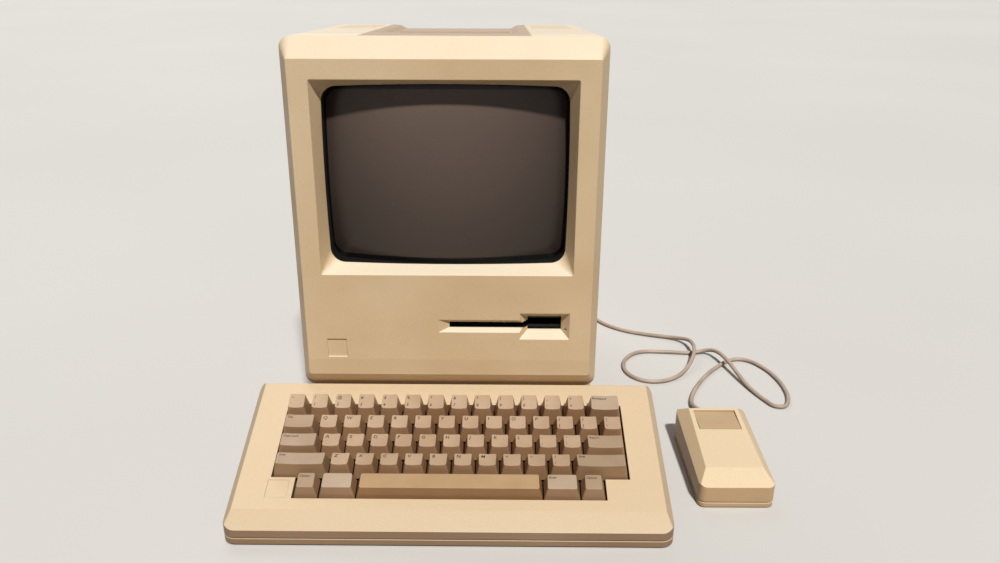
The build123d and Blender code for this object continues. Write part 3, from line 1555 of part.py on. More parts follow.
def roller(start, end, share):
    """A steel shaft with its slotted encoder wheel."""
    shaft = rod(roller_radius, start, end)
    near, far = encoder_span(start, end, share)
    disc = rod(encoder_radius, tuple(near), tuple(far))
    plane = Plane(origin=tuple(near), z_dir=far - near)
    for place in PolarLocations(encoder_radius - 1.6, encoder_slots):
        disc -= plane.location * place * Box(2.0, 0.9, 6 * encoder_thickness)
    return mouse_place * (shaft + disc)


def mouse_board():
    """Small board at the cable end, with the microswitch on its post under the button."""
    half = mouse_board_width / 2
    board = block(
        (-half, half), (mouse_board_start, mouse_board_start + mouse_board_length),
        (mouse_board_z, mouse_board_z + board_thickness),
    )
    y = button_start + button_length * 0.7
    top = mouse_top_z(y) - button_thickness - (y - button_pivot()[0]) * sin(radians(button_swing)) - 2 * gap
    micro = block((-4, 4), (y - 5, y + 5), (mouse_board_z + board_thickness, top))
    return mouse_place * Compound([board, micro])


def mouse_cord_relief():
    """Tapered sleeve where the cord leaves the mouse."""
    inside = mouse_length - mouse_wall
    sleeve = rod(relief_radius, (0, inside - 1, relief_height), (0, mouse_length + 1, relief_height))
    sleeve += rod(relief_radius + relief_flange, (0, inside - 2, relief_height), (0, inside, relief_height))
    cone = Cone(relief_radius, cord_diameter / 2 + cord_end, relief_length - 1)
    cone = Pos(0, mouse_length + 1 + (relief_length - 1) / 2, relief_height) * Rot(-90, 0, 0) * cone
    return mouse_place * (sleeve + cone)


def mouse_plug():
    """Plug hood against the rear port, with its own short sleeve."""
    x = port_places[0][0]
    start = rear_y + port_proud
    hood = block(
        (x - plug_hood_width / 2, x + plug_hood_width / 2), (start, start + plug_hood_length),
        (port_z - plug_hood_height / 2, port_z + plug_hood_height / 2),
    )
    far = hood.faces().sort_by(Axis.Y)[-1]
    hood = chamfer(hood.edges().filter_by(Axis.Y) + far.edges(), 2)
    sleeve = Cone(relief_radius, cord_diameter / 2 + cord_end, plug_sleeve)
    sleeve = Pos(x, start + plug_hood_length + plug_sleeve / 2, port_z) * Rot(-90, 0, 0) * sleeve
    return hood + sleeve


def cord_points():
    """Route of the mouse's cord, from the plug to the mouse."""
    x = port_places[0][0]
    start_y = rear_y + port_proud + plug_hood_length + plug_sleeve
    start = [(x, start_y, port_z), (x, start_y + cord_lead, port_z)]
    end_y = mouse_length + relief_length
    ends = [mouse_place * Pos(0, y, relief_height) for y in (end_y + cord_lead, end_y)]
    return start + list(cord_route) + [tuple(end.position) for end in ends]


def fillet_radii(points, ratio=0.45):
    """The largest even bends that the runs beside each point allow."""
    radii = []
    for before, here, after in zip(points, points[1:], points[2:]):
        a = Vector(*here) - Vector(*before)
        b = Vector(*after) - Vector(*here)
        turn = radians(a.get_angle(b))
        radii.append(ratio * min(a.length, b.length) / tan(turn / 2))
    return radii


def mouse_cord():
    points = cord_points()
    radii = fillet_radii(points)
    path = FilletPolyline(points, radius=radii)
    section = Plane(origin=path @ 0, z_dir=path % 0) * Circle(cord_diameter / 2)
    tube = sweep(section, path=path)
    area = pi * cord_diameter ** 2 / 4
    print("cord length", round(path.length, 1), "volume ratio", round(tube.volume / area / path.length, 4))
    print("cord radii", [round(radius, 1) for radius in radii])
    return tube


# ---------------------------------------------------------------- the whole set

def build_pieces():
    pieces = {
        "front_bezel": front_bezel(),
        "rear_case": rear_case(),
        "battery_door": battery_door(),
        "battery": battery(),
        "computer_feet": computer_feet(),
        "computer_screws": computer_screws(),
        "crt_tube": crt_tube(),
        "crt_band": crt_band(),
        "deflection_yoke": deflection_yoke(),
        "neck_board": neck_board(),
        "anode_lead": anode_lead(),
        "chassis_frame": chassis_frame(),
        "logic_board": logic_board(),
        "logic_chips": logic_chips(),
        "rear_ports": rear_ports(),
        "analog_board": analog_board(),
        "analog_parts": analog_parts(),
        "speaker": speaker(),
        "power_entry_frame": power_entry_frame(),
        "power_switch": power_switch(),
        "brightness_knob": brightness_knob(),
        "brightness_pot": brightness_pot(),
        "keyboard_jack": jack(jack_x, toe_y, jack_z, -1),
        "drive_frame": drive_frame(),
        "drive_spindle": drive_spindle(),
        "drive_head_carriage": drive_head_carriage(),
        "drive_lead_screw": drive_lead_screw(),
        "drive_stepper_motor": drive_stepper_motor(),
        "keyboard_top_case": keyboard_top_case(),
        "keyboard_bottom_case": keyboard_bottom_case(),
        "keyboard_feet": keyboard_feet(),
        "keyboard_plate": keyboard_plate(),
        "key_switches": key_switches(),
        "keyboard_board": keyboard_board(),
        "keyboard_socket": keyboard_place * jack(socket_x, keyboard_depth, socket_z, 1),
        "mouse_top_shell": mouse_top_shell(),
        "mouse_bottom_shell": mouse_bottom_shell(),
        "mouse_button": mouse_button(),
        "mouse_ball": mouse_ball(),
        "mouse_ball_ring": mouse_ball_ring(),
        "mouse_roller_x": roller(*roller_x_line(), encoder_share_x),
        "mouse_roller_y": roller(*roller_y_line(), encoder_share_y),
        "mouse_board": mouse_board(),
        "mouse_cord_relief": mouse_cord_relief(),
        "mouse_cord": mouse_cord(),
        "mouse_plug": mouse_plug(),
    }
    pieces.update(key_groups())
    return pieces


def set_centre(pieces):
    """Middle of the set's footprint, without the cord and its plug."""
    boxes = [shape.bounding_box() for name, shape in pieces.items() if name not in cord_pieces]
    x = (min(box.min.X for box in boxes) + max(box.max.X for box in boxes)) / 2
    y = (min(box.min.Y for box in boxes) + max(box.max.Y for box in boxes)) / 2
    return x, y


cord_pieces = ("mouse_cord", "mouse_plug")
set_pieces = build_pieces()
centre_x, centre_y = set_centre(set_pieces)
print("set centre", centre_x, centre_y)
os.makedirs("parts", exist_ok=True)
for name, shape in set_pieces.items():
    export_step(Pos(-centre_x, -centre_y, 0) * shape, f"parts/{name}.step")
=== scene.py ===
import bpy
import bmesh
from math import cos, pi, radians, sin, sqrt, tan
from mathutils import Matrix, Vector


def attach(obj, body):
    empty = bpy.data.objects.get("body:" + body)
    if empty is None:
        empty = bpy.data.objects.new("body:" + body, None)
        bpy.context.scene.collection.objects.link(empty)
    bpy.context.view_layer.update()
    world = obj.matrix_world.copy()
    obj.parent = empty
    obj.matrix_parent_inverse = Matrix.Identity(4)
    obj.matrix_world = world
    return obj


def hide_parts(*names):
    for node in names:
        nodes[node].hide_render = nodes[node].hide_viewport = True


# Vintage home computer with its keyboard and mouse: the finishes, the tube's glass, the key legends,
# the mouse's cord, the camera and the light. The shared frame is in metres. Lengths below are in
# millimetres, unless a comment says metres.
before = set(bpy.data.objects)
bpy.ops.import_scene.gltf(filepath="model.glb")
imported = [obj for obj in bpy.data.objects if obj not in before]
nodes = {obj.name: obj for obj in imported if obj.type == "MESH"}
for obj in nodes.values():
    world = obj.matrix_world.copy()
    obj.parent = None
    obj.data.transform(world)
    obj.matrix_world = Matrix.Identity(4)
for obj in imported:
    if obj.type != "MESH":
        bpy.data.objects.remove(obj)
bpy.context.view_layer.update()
scene = bpy.context.scene

MM = 0.001
SET_CENTRE = Vector((48.83413, -62.92394, 0))    # the shared frame's origin, measured from the computer's


def local(x, y, z):
    """A point measured from the computer's own origin, in the shared frame."""
    return (Vector((x, y, z)) - SET_CENTRE) * MM


# ---------------------------------------------------------------- camera, fitted to the photograph

CAMERA_PLACE = (42.56, -797.39, 424.62)


def look(yaw, pitch, roll):
    """The turn of a camera that looks along +Y where all three angles are 0."""
    ahead = Vector((sin(yaw) * cos(pitch), cos(yaw) * cos(pitch), sin(pitch)))
    right = ahead.cross(Vector((0, 0, 1))).normalized()
    up = right.cross(ahead)
    level = right * cos(roll) + up * sin(roll)
    upright = -right * sin(roll) + up * cos(roll)
    return Matrix((level, upright, -ahead)).transposed().to_4x4()


def add_camera():
    lens = bpy.data.cameras.new("camera")
    lens.sensor_width = 36
    lens.lens = 31.78
    lens.shift_x = 0.0077
    lens.shift_y = 0.0336
    lens.clip_start = 0.05    # metres
    lens.clip_end = 20
    camera = bpy.data.objects.new("camera", lens)
    scene.collection.objects.link(camera)
    turn = look(yaw=-0.009, pitch=-0.421, roll=0.002)
    camera.matrix_world = Matrix.Translation(local(*CAMERA_PLACE)) @ turn
    scene.camera = camera


add_camera()


# ---------------------------------------------------------------- the computer's face

CASE_HEIGHT = 345.6
FACE_FRONT = -136.1        # Y of the face's foot
FACE_HEIGHT = 257.0        # measured up the leaning face
BROW_RISE = 15.6           # the bevel over the face rises this far above it
BROW_DEPTH = 12.5          # and runs this far back
LEAN = radians(2.5)
FACE_UP = Vector((0, sin(LEAN), cos(LEAN)))
FACE_OUT = Vector((0, -cos(LEAN), sin(LEAN)))
FACE_FOOT = CASE_HEIGHT - (FACE_HEIGHT + BROW_RISE) * cos(LEAN) + BROW_DEPTH * sin(LEAN)
FACE_START = Vector((0, FACE_FRONT, FACE_FOOT))


def on_face(x, up, out):
    """A point given across the leaning face, up it and out of it, in the shared frame."""
    return (Vector((x, 0, 0)) + FACE_START + FACE_UP * up + FACE_OUT * out - SET_CENTRE) * MM


# ---------------------------------------------------------------- building materials

def srgb(r, g, b):
    """A colour from 0 to 255 per channel, as the shaders take it."""
    linear = [((c / 255 + 0.055) / 1.055) ** 2.4 if c > 10 else c / 255 / 12.92 for c in (r, g, b)]
    return (*linear, 1.0)


def darker(colour, share):
    return srgb(*[c * share for c in colour])


BLACK, WHITE = (0, 0, 0, 1), (1, 1, 1, 1)


class Nodes:
    """Short ways to build one material's nodes. Their lengths and scales count in metres."""

    def __init__(self, name):
        self.material = bpy.data.materials.new(name)
        self.material.use_nodes = True
        self.tree = self.material.node_tree
        self.tree.nodes.clear()
        out = self.new("OutputMaterial")
        self.shader = self.new("BsdfPrincipled")
        self.link(self.shader.outputs[0], out.inputs["Surface"])
        self.place = self.new("TexCoord").outputs["Object"]

    def new(self, kind):
        return self.tree.nodes.new("ShaderNode" + kind)

    def link(self, a, b):
        self.tree.links.new(a, b)

    def feed(self, socket, value):
        """A constant goes on the socket itself, and another node's output is linked to it."""
        if isinstance(value, (int, float, tuple)):
            socket.default_value = value
        else:
            self.link(value, socket)

    def noise(self, scale, detail, rough=0.5):
        node = self.new("TexNoise")
        node.inputs["Scale"].default_value = scale
        node.inputs["Detail"].default_value = detail
        node.inputs["Roughness"].default_value = rough
        self.link(self.place, node.inputs["Vector"])
        return node.outputs[0]

    def ramp(self, value, stops):
        node = self.new("ValToRGB")
        ramp = node.color_ramp
        ramp.elements[0].position, ramp.elements[0].color = stops[0]
        ramp.elements[1].position, ramp.elements[1].color = stops[-1]
        for at, colour in stops[1:-1]:
            ramp.elements.new(at).color = colour
        self.link(value, node.inputs[0])
        return node.outputs[0]

    def span(self, value, low, high, a=0.0, b=1.0):
        """a where value is low, b where it is high, and even steps between."""
        node = self.new("MapRange")
        for socket, number in zip(("From Min", "From Max", "To Min", "To Max"), (low, high, a, b)):
            node.inputs[socket].default_value = number
        self.link(value, node.inputs[0])
        return node.outputs[0]

    def drift(self, scale, detail, low, high):
        """A number that wanders between low and high over the surface."""
        return self.span(self.noise(scale, detail), 0.3, 0.7, low, high)

    def mix(self, share, a, b, how="MIX"):
        node = self.new("Mix")
        node.data_type = "RGBA"
        node.blend_type = how
        for socket, value in ((node.inputs[0], share), (node.inputs[6], a), (node.inputs[7], b)):
            self.feed(socket, value)
        return node.outputs[2]

    def tinted(self, colour, tint):
        return self.mix(1.0, colour, tint, "MULTIPLY")

    def math(self, how, a, b=0.0):
        node = self.new("Math")
        node.operation = how
        self.feed(node.inputs[0], a)
        self.feed(node.inputs[1], b)
        return node.outputs[0]

    def square(self, value):
        return self.math("MULTIPLY", value, value)

    def all_of(self, masks):
        """1 where every mask is 1."""
        share = masks[0]
        for mask in masks[1:]:
            share = self.math("MULTIPLY", share, mask)
        return share

    def axes(self, vector):
        """A vector's X, Y and Z."""
        node = self.new("SeparateXYZ")
        self.link(vector, node.inputs[0])
        return node.outputs

    def along(self, axis, start):
        """How far the surface lies past start along an axis."""
        node = self.new("VectorMath")
        node.operation = "DOT_PRODUCT"
        node.inputs[1].default_value = axis
        self.link(self.place, node.inputs[0])
        return self.math("SUBTRACT", node.outputs["Value"], start)

    def upward(self):
        """1 on a level top, 0 on a wall."""
        return self.axes(self.new("NewGeometry").outputs["Normal"])["Z"]

    def bump(self, height, distance, strength, edge=0.0):
        """A fine relief, over corners that look rounded by edge where it is given."""
        node = self.new("Bump")
        node.inputs["Strength"].default_value = strength
        node.inputs["Distance"].default_value = distance
        self.link(height, node.inputs["Height"])
        if edge:
            rounded = self.new("Bevel")
            rounded.samples = 8
            rounded.inputs["Radius"].default_value = edge
            self.link(rounded.outputs[0], node.inputs["Normal"])
        self.link(node.outputs[0], self.shader.inputs["Normal"])

    def set(self, **values):
        """Sets the shader's inputs by name, with _ for a space, and gives the finished material."""
        for name, value in values.items():
            self.feed(self.shader.inputs[name.replace("_", " ")], value)
        return self.material


# ---------------------------------------------------------------- parts of the case with painted shade

CHANNEL_SIDE = (0.0645, 0.0665)      # metres from the computer's middle, where the channel's painted shade fades out
CHANNEL_LOW = (0.30, 0.305)          # metres over the floor
CHANNEL_FRONT = (-0.0475, -0.0465)   # metres along Y
CHANNEL_BACK = (0.1925, 0.1945)
MARK_EDGE = 0.0003                   # metres over which a mark on the face fades out


def in_channel(n):
    """Painted shade's mask: 1 in the carrying channel of the case's top, 0 beside it."""
    place = n.axes(n.place)
    across = n.math("ABSOLUTE", n.math("ADD", place["X"], SET_CENTRE.x * MM))
    return n.all_of((
        n.span(across, *CHANNEL_SIDE, 1.0, 0.0),
        n.span(place["Z"], *CHANNEL_LOW),
        n.span(place["Y"], *CHANNEL_FRONT),
        n.span(place["Y"], *CHANNEL_BACK, 1.0, 0.0),
    ))


def behind_face(n, x_range, up_range, depth):
    """1 for what lies deeper than depth behind the leaning face, inside a window of it."""
    def past(axis, start):
        return n.along(axis, axis.dot(on_face(0, 0, 0)) + start * MM)

    masks = [n.span(past(-FACE_OUT, depth), 0.0, MARK_EDGE)]
    for axis, (low, high) in ((Vector((1, 0, 0)), x_range), (FACE_UP, up_range)):
        off = n.math("ABSOLUTE", past(axis, (low + high) / 2))
        half = (high - low) / 2 * MM
        masks.append(n.span(off, half, half + MARK_EDGE, 1.0, 0.0))
    return n.all_of(masks)


def in_throat(n):
    """Painted shade: the bezel made black inside the screen opening, behind its sloped walls."""
    return behind_face(n, x_range=(-101, 101), up_range=(88.5, 241.5), depth=14.75)


def in_slot(n):
    """Painted shade: the disk slot's inside made black, behind its lips, where no light comes."""
    return behind_face(n, x_range=(0.6, 66.4), up_range=(40.9, 46.3), depth=4.15)


# ---------------------------------------------------------------- materials

def case_plastic(name, tones, painted_top_light, marks=()):
    """Moulded plastic: a pebbled skin, slow colour drift from age, and painted light that makes faces turned
    upward paler.

    The tones are dark, middle and light. Each mark is a mask with the painted shade that it gives.
    """
    n = Nodes(name)
    colour = n.ramp(n.noise(9.0, 3.0), [(at, srgb(*tone)) for at, tone in zip((0.3, 0.52, 0.75), tones)])
    # Painted light: faces turned upward fade to the paler top tone, and walls keep the darker tones.
    colour = n.mix(n.span(n.upward(), 0.3, 0.95), colour, srgb(*painted_top_light))
    for mask, tone in marks:
        colour = n.mix(mask(n), colour, srgb(*tone))
    specks = n.ramp(n.drift(1050.0, 2.0, 0.93, 1.05), [(0.0, BLACK), (1.0, WHITE)])
    n.bump(n.noise(1500.0, 2.0, 0.6), distance=0.00006, strength=0.4, edge=0.0009)
    sheen = n.drift(30.0, 3.0, 0.40, 0.54)
    return n.set(Base_Color=n.tinted(colour, specks), Roughness=sheen, IOR=1.5, Specular_IOR_Level=0.6)


def key_plastic(name, tones, rough=0.42, sides=(0.66, 0.53, 0.41, 1)):
    """Keycaps: slow shade drift, painted shade that darkens and browns their sides under a worn top, and a
    finer skin than the case.
    """
    n = Nodes(name)
    base = n.ramp(n.noise(28.0, 1.0), [(at, srgb(*tone)) for at, tone in zip((0.3, 0.5, 0.7), tones)])
    worn = n.ramp(n.noise(60.0, 3.0), [(0.3, (0.93, 0.92, 0.90, 1)), (0.7, WHITE)])
    # Painted shade: faces that don't look up are multiplied by the darker sides colour.
    base = n.mix(n.span(n.upward(), 0.45, 0.8, 1.0, 0.0), base, sides, "MULTIPLY")
    n.bump(n.noise(2600.0, 2.0), distance=0.00002, strength=0.3, edge=0.0006)
    sheen = n.drift(90.0, 2.0, rough - 0.05, rough + 0.07)
    return n.set(Base_Color=n.tinted(base, worn), Roughness=sheen, IOR=1.5)


def metal(name, colour, rough, grain):
    n = Nodes(name)
    tone = n.ramp(n.noise(grain, 4.0), [(0.35, darker(colour, 0.86)), (0.65, srgb(*colour))])
    n.bump(n.noise(grain * 6, 2.0), distance=0.00002, strength=0.25)
    return n.set(Base_Color=tone, Metallic=1.0, Roughness=n.drift(grain, 3.0, rough - 0.08, rough + 0.1))


def plain(name, colour, rough, scale, shade=0.85):
    """A small part's plastic, rubber or card: a mottled tone and a fine skin."""
    n = Nodes(name)
    tone = n.ramp(n.noise(scale, 3.0), [(0.3, darker(colour, shade)), (0.7, srgb(*colour))])
    n.bump(n.noise(scale * 4, 2.0), distance=0.00002, strength=0.3)
    return n.set(Base_Color=tone, Roughness=n.drift(scale, 2.0, rough - 0.05, rough + 0.08))


GLASS_UNIT = 100.0         # millimetres of the tube's face to one step of its UV


def screen_glass(name):
    """Picture tube: grey phosphor behind dark glass, with an unlit black margin and painted light and shade
    across it.

    Its numbers count in GLASS_UNITs from the glass's middle. The lit part has bowed sides and round corners.
    """
    n = Nodes(name)
    place = n.axes(n.new("TexCoord").outputs["UV"])
    corner, margin_fade = 0.10, 0.004
    past = []
    for axis, other, half, bow in (("X", "Y", 0.95, 0.012), ("Y", "X", 0.68, 0.02)):
        edge = n.math("ADD", n.math("MULTIPLY", n.square(place[other]), bow), n.math("ABSOLUTE", place[axis]))
        past.append(n.math("MAXIMUM", n.math("SUBTRACT", edge, half - corner), 0.0))
    outside = n.math("SQRT", n.math("ADD", n.square(past[0]), n.square(past[1])))

    phosphor = n.ramp(n.noise(5.0, 2.0), [(0.3, srgb(96, 81, 73)), (0.7, srgb(102, 87, 77))])
    dots = n.ramp(n.noise(2500.0, 1.0), [(0.4, (0.9, 0.9, 0.9, 1)), (0.6, WHITE)])
    # Painted light and shade: the glass is paler towards its top and darker towards its sides.
    painted_light_upward = n.math("ADD", n.math("MULTIPLY", place["Y"], 0.52), 0.80)
    painted_shade_at_sides = n.math("SUBTRACT", 1.0, n.math("MULTIPLY", n.square(place["X"]), 0.65))
    brightest = 1.25
    level = n.span(n.math("MULTIPLY", painted_light_upward, painted_shade_at_sides), 0.0, brightest)
    shade = n.ramp(level, [(0.0, BLACK), (1.0, (brightest, brightest, brightest, 1))])
    lit = n.tinted(n.tinted(phosphor, dots), shade)
    colour = n.mix(n.span(outside, corner - margin_fade, corner + margin_fade), lit, srgb(12, 11, 11))
    return n.set(Base_Color=colour, Roughness=n.drift(40.0, 3.0, 0.2, 0.28), IOR=1.5, Specular_IOR_Level=0.25)


def cord_jacket(name, colour):
    n = Nodes(name)
    tone = n.ramp(n.noise(60.0, 4.0), [(0.3, darker(colour, 0.86)), (0.7, srgb(*colour))])
    n.bump(n.noise(1800.0, 2.0), distance=0.00003, strength=0.3)
    return n.set(Base_Color=tone, Roughness=n.drift(120.0, 2.0, 0.42, 0.55), IOR=1.48)


def board_green(name):
    """Circuit board: green varnish over a mesh of tracks."""
    n = Nodes(name)
    tracks = n.new("TexBrick")
    sizes = {"Scale": 160.0, "Mortar Size": 0.012, "Brick Width": 0.9, "Row Height": 0.35}
    tones = {"Color1": (24, 84, 44), "Color2": (30, 96, 52), "Mortar": (52, 124, 72)}
    for socket, size in sizes.items():
        tracks.inputs[socket].default_value = size
    for socket, tone in tones.items():
        tracks.inputs[socket].default_value = srgb(*tone)
    n.link(n.place, tracks.inputs["Vector"])
    return n.set(Base_Color=tracks.outputs[0], Roughness=0.3, IOR=1.5)


# Painted shade: the channel between the raised parts of the case's top is coloured darker.
CHANNEL_PAINTED_SHADE = (175, 149, 121)
# Painted shade: black for the bezel's hollows behind the screen opening's walls and the disk slot's lips.
PAINTED_HOLLOW_SHADE = (14, 13, 12)

bezel_plastic = case_plastic(
    "bezel_plastic", ((204, 175, 136), (212, 185, 148), (218, 193, 157)), painted_top_light=(236, 221, 196),
    marks=((in_channel, CHANNEL_PAINTED_SHADE), (in_throat, PAINTED_HOLLOW_SHADE), (in_slot, PAINTED_HOLLOW_SHADE)),
)
rear_plastic = case_plastic(
    "rear_plastic", ((202, 174, 136), (212, 186, 149), (218, 194, 158)), painted_top_light=(228, 211, 184),
    marks=((in_channel, CHANNEL_PAINTED_SHADE),),
)
# Painted shade: the keyboard's wall tones are far darker than its top tone, which shades its upright faces.
keyboard_plastic = case_plastic(
    "keyboard_plastic", ((139, 111, 83), (146, 118, 90), (153, 125, 97)), painted_top_light=(212, 189, 156),
)
mouse_plastic = case_plastic(
    "mouse_plastic", ((188, 154, 112), (196, 163, 122), (202, 170, 131)), painted_top_light=(224, 202, 167),
)
letter_keys = key_plastic("letter_keys", ((179, 151, 124), (184, 157, 131), (189, 163, 137)))
side_keys = key_plastic(
    "side_keys", ((160, 135, 110), (166, 142, 117), (172, 148, 124)), sides=(0.78, 0.66, 0.54, 1),
)
pale_keys = key_plastic(
    "pale_keys", ((175, 153, 130), (180, 159, 137), (185, 165, 144)), 0.36, (0.62, 0.47, 0.36, 1),
)
space_key = key_plastic(
    "space_key", ((175, 144, 106), (178, 147, 110), (182, 151, 115)), 0.38, (0.58, 0.46, 0.36, 1),
)
button_key = key_plastic("button_key", ((185, 156, 119), (188, 160, 124), (192, 165, 130)), 0.38)
tube_glass = screen_glass("tube_glass")
cord_skin = cord_jacket("cord_skin", (184, 163, 146))
legend_ink = plain("legend_ink", (44, 30, 24), 0.55, 900.0, 0.9)
dark_plastic = plain("dark_plastic", (34, 32, 31), 0.5, 300.0)
dark_rubber = plain("dark_rubber", (42, 40, 38), 0.75, 500.0)
ball_rubber = plain("ball_rubber", (70, 68, 66), 0.6, 500.0, 0.8)
chip_black = plain("chip_black", (30, 30, 31), 0.45, 700.0)
winding = plain("winding", (122, 62, 34), 0.4, 900.0, 0.7)
cell_skin = plain("cell_skin", (48, 50, 58), 0.35, 200.0)
ring_plastic = plain("ring_plastic", (206, 186, 154), 0.4, 300.0, 0.95)
frame_steel = metal("frame_steel", (168, 170, 170), 0.42, 120.0)
dark_steel = metal("dark_steel", (54, 54, 54), 0.5, 120.0)
bright_steel = metal("bright_steel", (186, 186, 184), 0.26, 260.0)
green_board = board_green("green_board")

FINISHES = (
    (bezel_plastic, "front_bezel"),
    (rear_plastic, "rear_case battery_door"),
    (keyboard_plastic, "keyboard_top_case keyboard_bottom_case"),
    (mouse_plastic, "mouse_top_shell mouse_bottom_shell"),
    (letter_keys, "keys_number_row keys_top_row keys_home_row keys_bottom_row"),
    (side_keys, "keys_option key_tab key_caps_lock key_shift_left key_shift_right key_return"),
    (side_keys, "brightness_knob"),
    (pale_keys, "key_command key_enter key_backspace"),
    (space_key, "key_space"),
    (button_key, "mouse_button"),
    (tube_glass, "crt_tube"),
    (cord_skin, "mouse_cord mouse_cord_relief mouse_plug"),
    (dark_plastic, "speaker power_entry_frame power_switch keyboard_jack keyboard_socket key_switches"),
    (dark_rubber, "computer_feet keyboard_feet anode_lead"),
    (ball_rubber, "mouse_ball"),
    (chip_black, "logic_chips analog_parts brightness_pot"),
    (winding, "deflection_yoke"),
    (cell_skin, "battery"),
    (ring_plastic, "mouse_ball_ring"),
    (frame_steel, "crt_band chassis_frame rear_ports drive_head_carriage drive_stepper_motor"),
    (dark_steel, "computer_screws drive_frame keyboard_plate"),
    (bright_steel, "drive_spindle drive_lead_screw mouse_roller_x mouse_roller_y"),
    (green_board, "neck_board logic_board analog_board keyboard_board mouse_board"),
)
for material, names in FINISHES:
    for name in names.split():
        nodes[name].data.materials.clear()
        nodes[name].data.materials.append(material)


def add_mesh(name, mesh, body):
    piece = bpy.data.objects.new(name, mesh)
    scene.collection.objects.link(piece)
    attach(piece, body)


# ---------------------------------------------------------------- picture tube's glass

SCREEN_MIDDLE = 165.0      # of the screen opening, up the face
OPENING_HALF_X = 96.65     # the opening's inner edge, a hair clear of the bezel
OPENING_HALF_UP = 72.15
OPENING_BOW_X = 1.2        # how far its edges draw in towards their ends
OPENING_BOW_UP = 2.0
OPENING_CORNER = 12.0
TUBE_RADIUS = 380.0        # of the faceplate's sphere
TUBE_FRONT = 12.4          # its foremost point lies this far behind the face
TUBE_RINGS, TUBE_SPOKES = 26, 192
BEYOND_OPENING = 125.0     # further from the screen's middle than any point of its opening


def in_opening(x, up):
    """Whether a point, measured from the screen's middle, lies inside the opening's bowed outline."""
    beyond_x = abs(x) + OPENING_BOW_X * (up / OPENING_HALF_UP) ** 2 - OPENING_HALF_X + OPENING_CORNER
    beyond_up = abs(up) + OPENING_BOW_UP * (x / OPENING_HALF_X) ** 2 - OPENING_HALF_UP + OPENING_CORNER
    return max(beyond_x, 0) ** 2 + max(beyond_up, 0) ** 2 <= OPENING_CORNER * OPENING_CORNER


def edge_point(turn):
    """The opening's edge in one direction from its middle, found by halving."""
    low, high = 0.0, BEYOND_OPENING
    for _ in range(24):
        trial = (low + high) / 2
        low, high = (trial, high) if in_opening(trial * cos(turn), trial * sin(turn)) else (low, trial)
    return low * cos(turn), low * sin(turn)


def tube_face():
    """The faceplate's sphere as a fine mesh that fills the screen opening."""
    mesh = bmesh.new()
    layer = mesh.loops.layers.uv.new("place")

    def spot(x, up):
        """A corner of the mesh, with its place on the glass."""
        sink = TUBE_FRONT + TUBE_RADIUS - sqrt(TUBE_RADIUS * TUBE_RADIUS - x * x - up * up)
        return mesh.verts.new(on_face(x, SCREEN_MIDDLE + up, -sink)), x, up

    edge = [edge_point(2 * pi * spoke / TUBE_SPOKES) for spoke in range(TUBE_SPOKES)]
    rings = []
    for ring in range(1, TUBE_RINGS + 1):
        rings.append([spot(x * ring / TUBE_RINGS, up * ring / TUBE_RINGS) for x, up in edge])
    hub = spot(0, 0)
    for spoke in range(TUBE_SPOKES):
        after = (spoke + 1) % TUBE_SPOKES
        outlines = [(hub, rings[0][spoke], rings[0][after])]
        for inner, outer in zip(rings, rings[1:]):
            outlines.append((inner[spoke], outer[spoke], outer[after], inner[after]))
        for outline in outlines:
            face = mesh.faces.new([corner[0] for corner in outline])
            face.smooth = True
            for loop, (_, x, up) in zip(face.loops, outline):
                loop[layer].uv = (x / GLASS_UNIT, up / GLASS_UNIT)
    result = bpy.data.meshes.new("tube_face")
    mesh.to_mesh(result)
    mesh.free()
    result.materials.append(tube_glass)
    add_mesh("tube_face", result, "computer")


tube_face()


# ---------------------------------------------------------------- key legends

KEYBOARD_PLACE = Vector((5.2, -270.5, 0))    # the middle of its front edge
SLOPE = radians(17)
BAND_DEPTH, BAND_HEIGHT = 14.5, 22.3         # the slope starts behind and above the upright front
KEYS_FRONT = 25.6                            # from the keyboard's front edge back to the front row
DECK_START = Vector((0, KEYS_FRONT, BAND_HEIGHT + (KEYS_FRONT - BAND_DEPTH) * tan(SLOPE)))
PITCH = 19.05
KEY_BASE = 18.2
LEAN_FRONT, LEAN_SIDE = 3.7, 2.7             # a cap's top is this much smaller than its foot
DISH = 0.7                                   # how far a cap's top dips in its middle
DISH_MARGIN = 0.5
ROW_HEIGHTS = (6.3, 10.8, 10.2, 10.6, 12.9)  # of each row's front top edge, front row first
ROW_TILTS = (3.0, -10.0, -3.5, 0.0, 9.0)     # degrees added to the slope
ROW_WIDTHS = (
    (1.0, 1.5, 7.5, 1.5, 1.0),
    (2.25,) + (1.0,) * 10 + (2.25,),
    (1.75,) + (1.0,) * 11 + (1.75,),
    (1.5,) + (1.0,) * 13,
    (1.0,) * 13 + (1.5,),
)


def on_deck(x, along, high):
    """A point given across the keyboard's slope, up it and over it, in the shared frame."""
    ahead = Vector((0, cos(SLOPE), sin(SLOPE)))
    upward = Vector((0, -sin(SLOPE), cos(SLOPE)))
    start = KEYBOARD_PLACE + DECK_START + Vector((x, 0, 0))
    return (start + ahead * along + upward * high - SET_CENTRE) * MM


def cap_top(row, width, x, along):
    """Height of a cap's top over the slope, at a point measured from the cap's middle."""
    front = -KEY_BASE / 2 + LEAN_FRONT
    high = ROW_HEIGHTS[row] + (along - front) * tan(radians(ROW_TILTS[row]))
    if row > 0:
        half = width * PITCH / 2 - LEAN_SIDE - DISH_MARGIN
        radius = half * half / (2 * DISH) + DISH / 2
        high -= sqrt(radius * radius - x * x) - (radius - DISH)
    return high


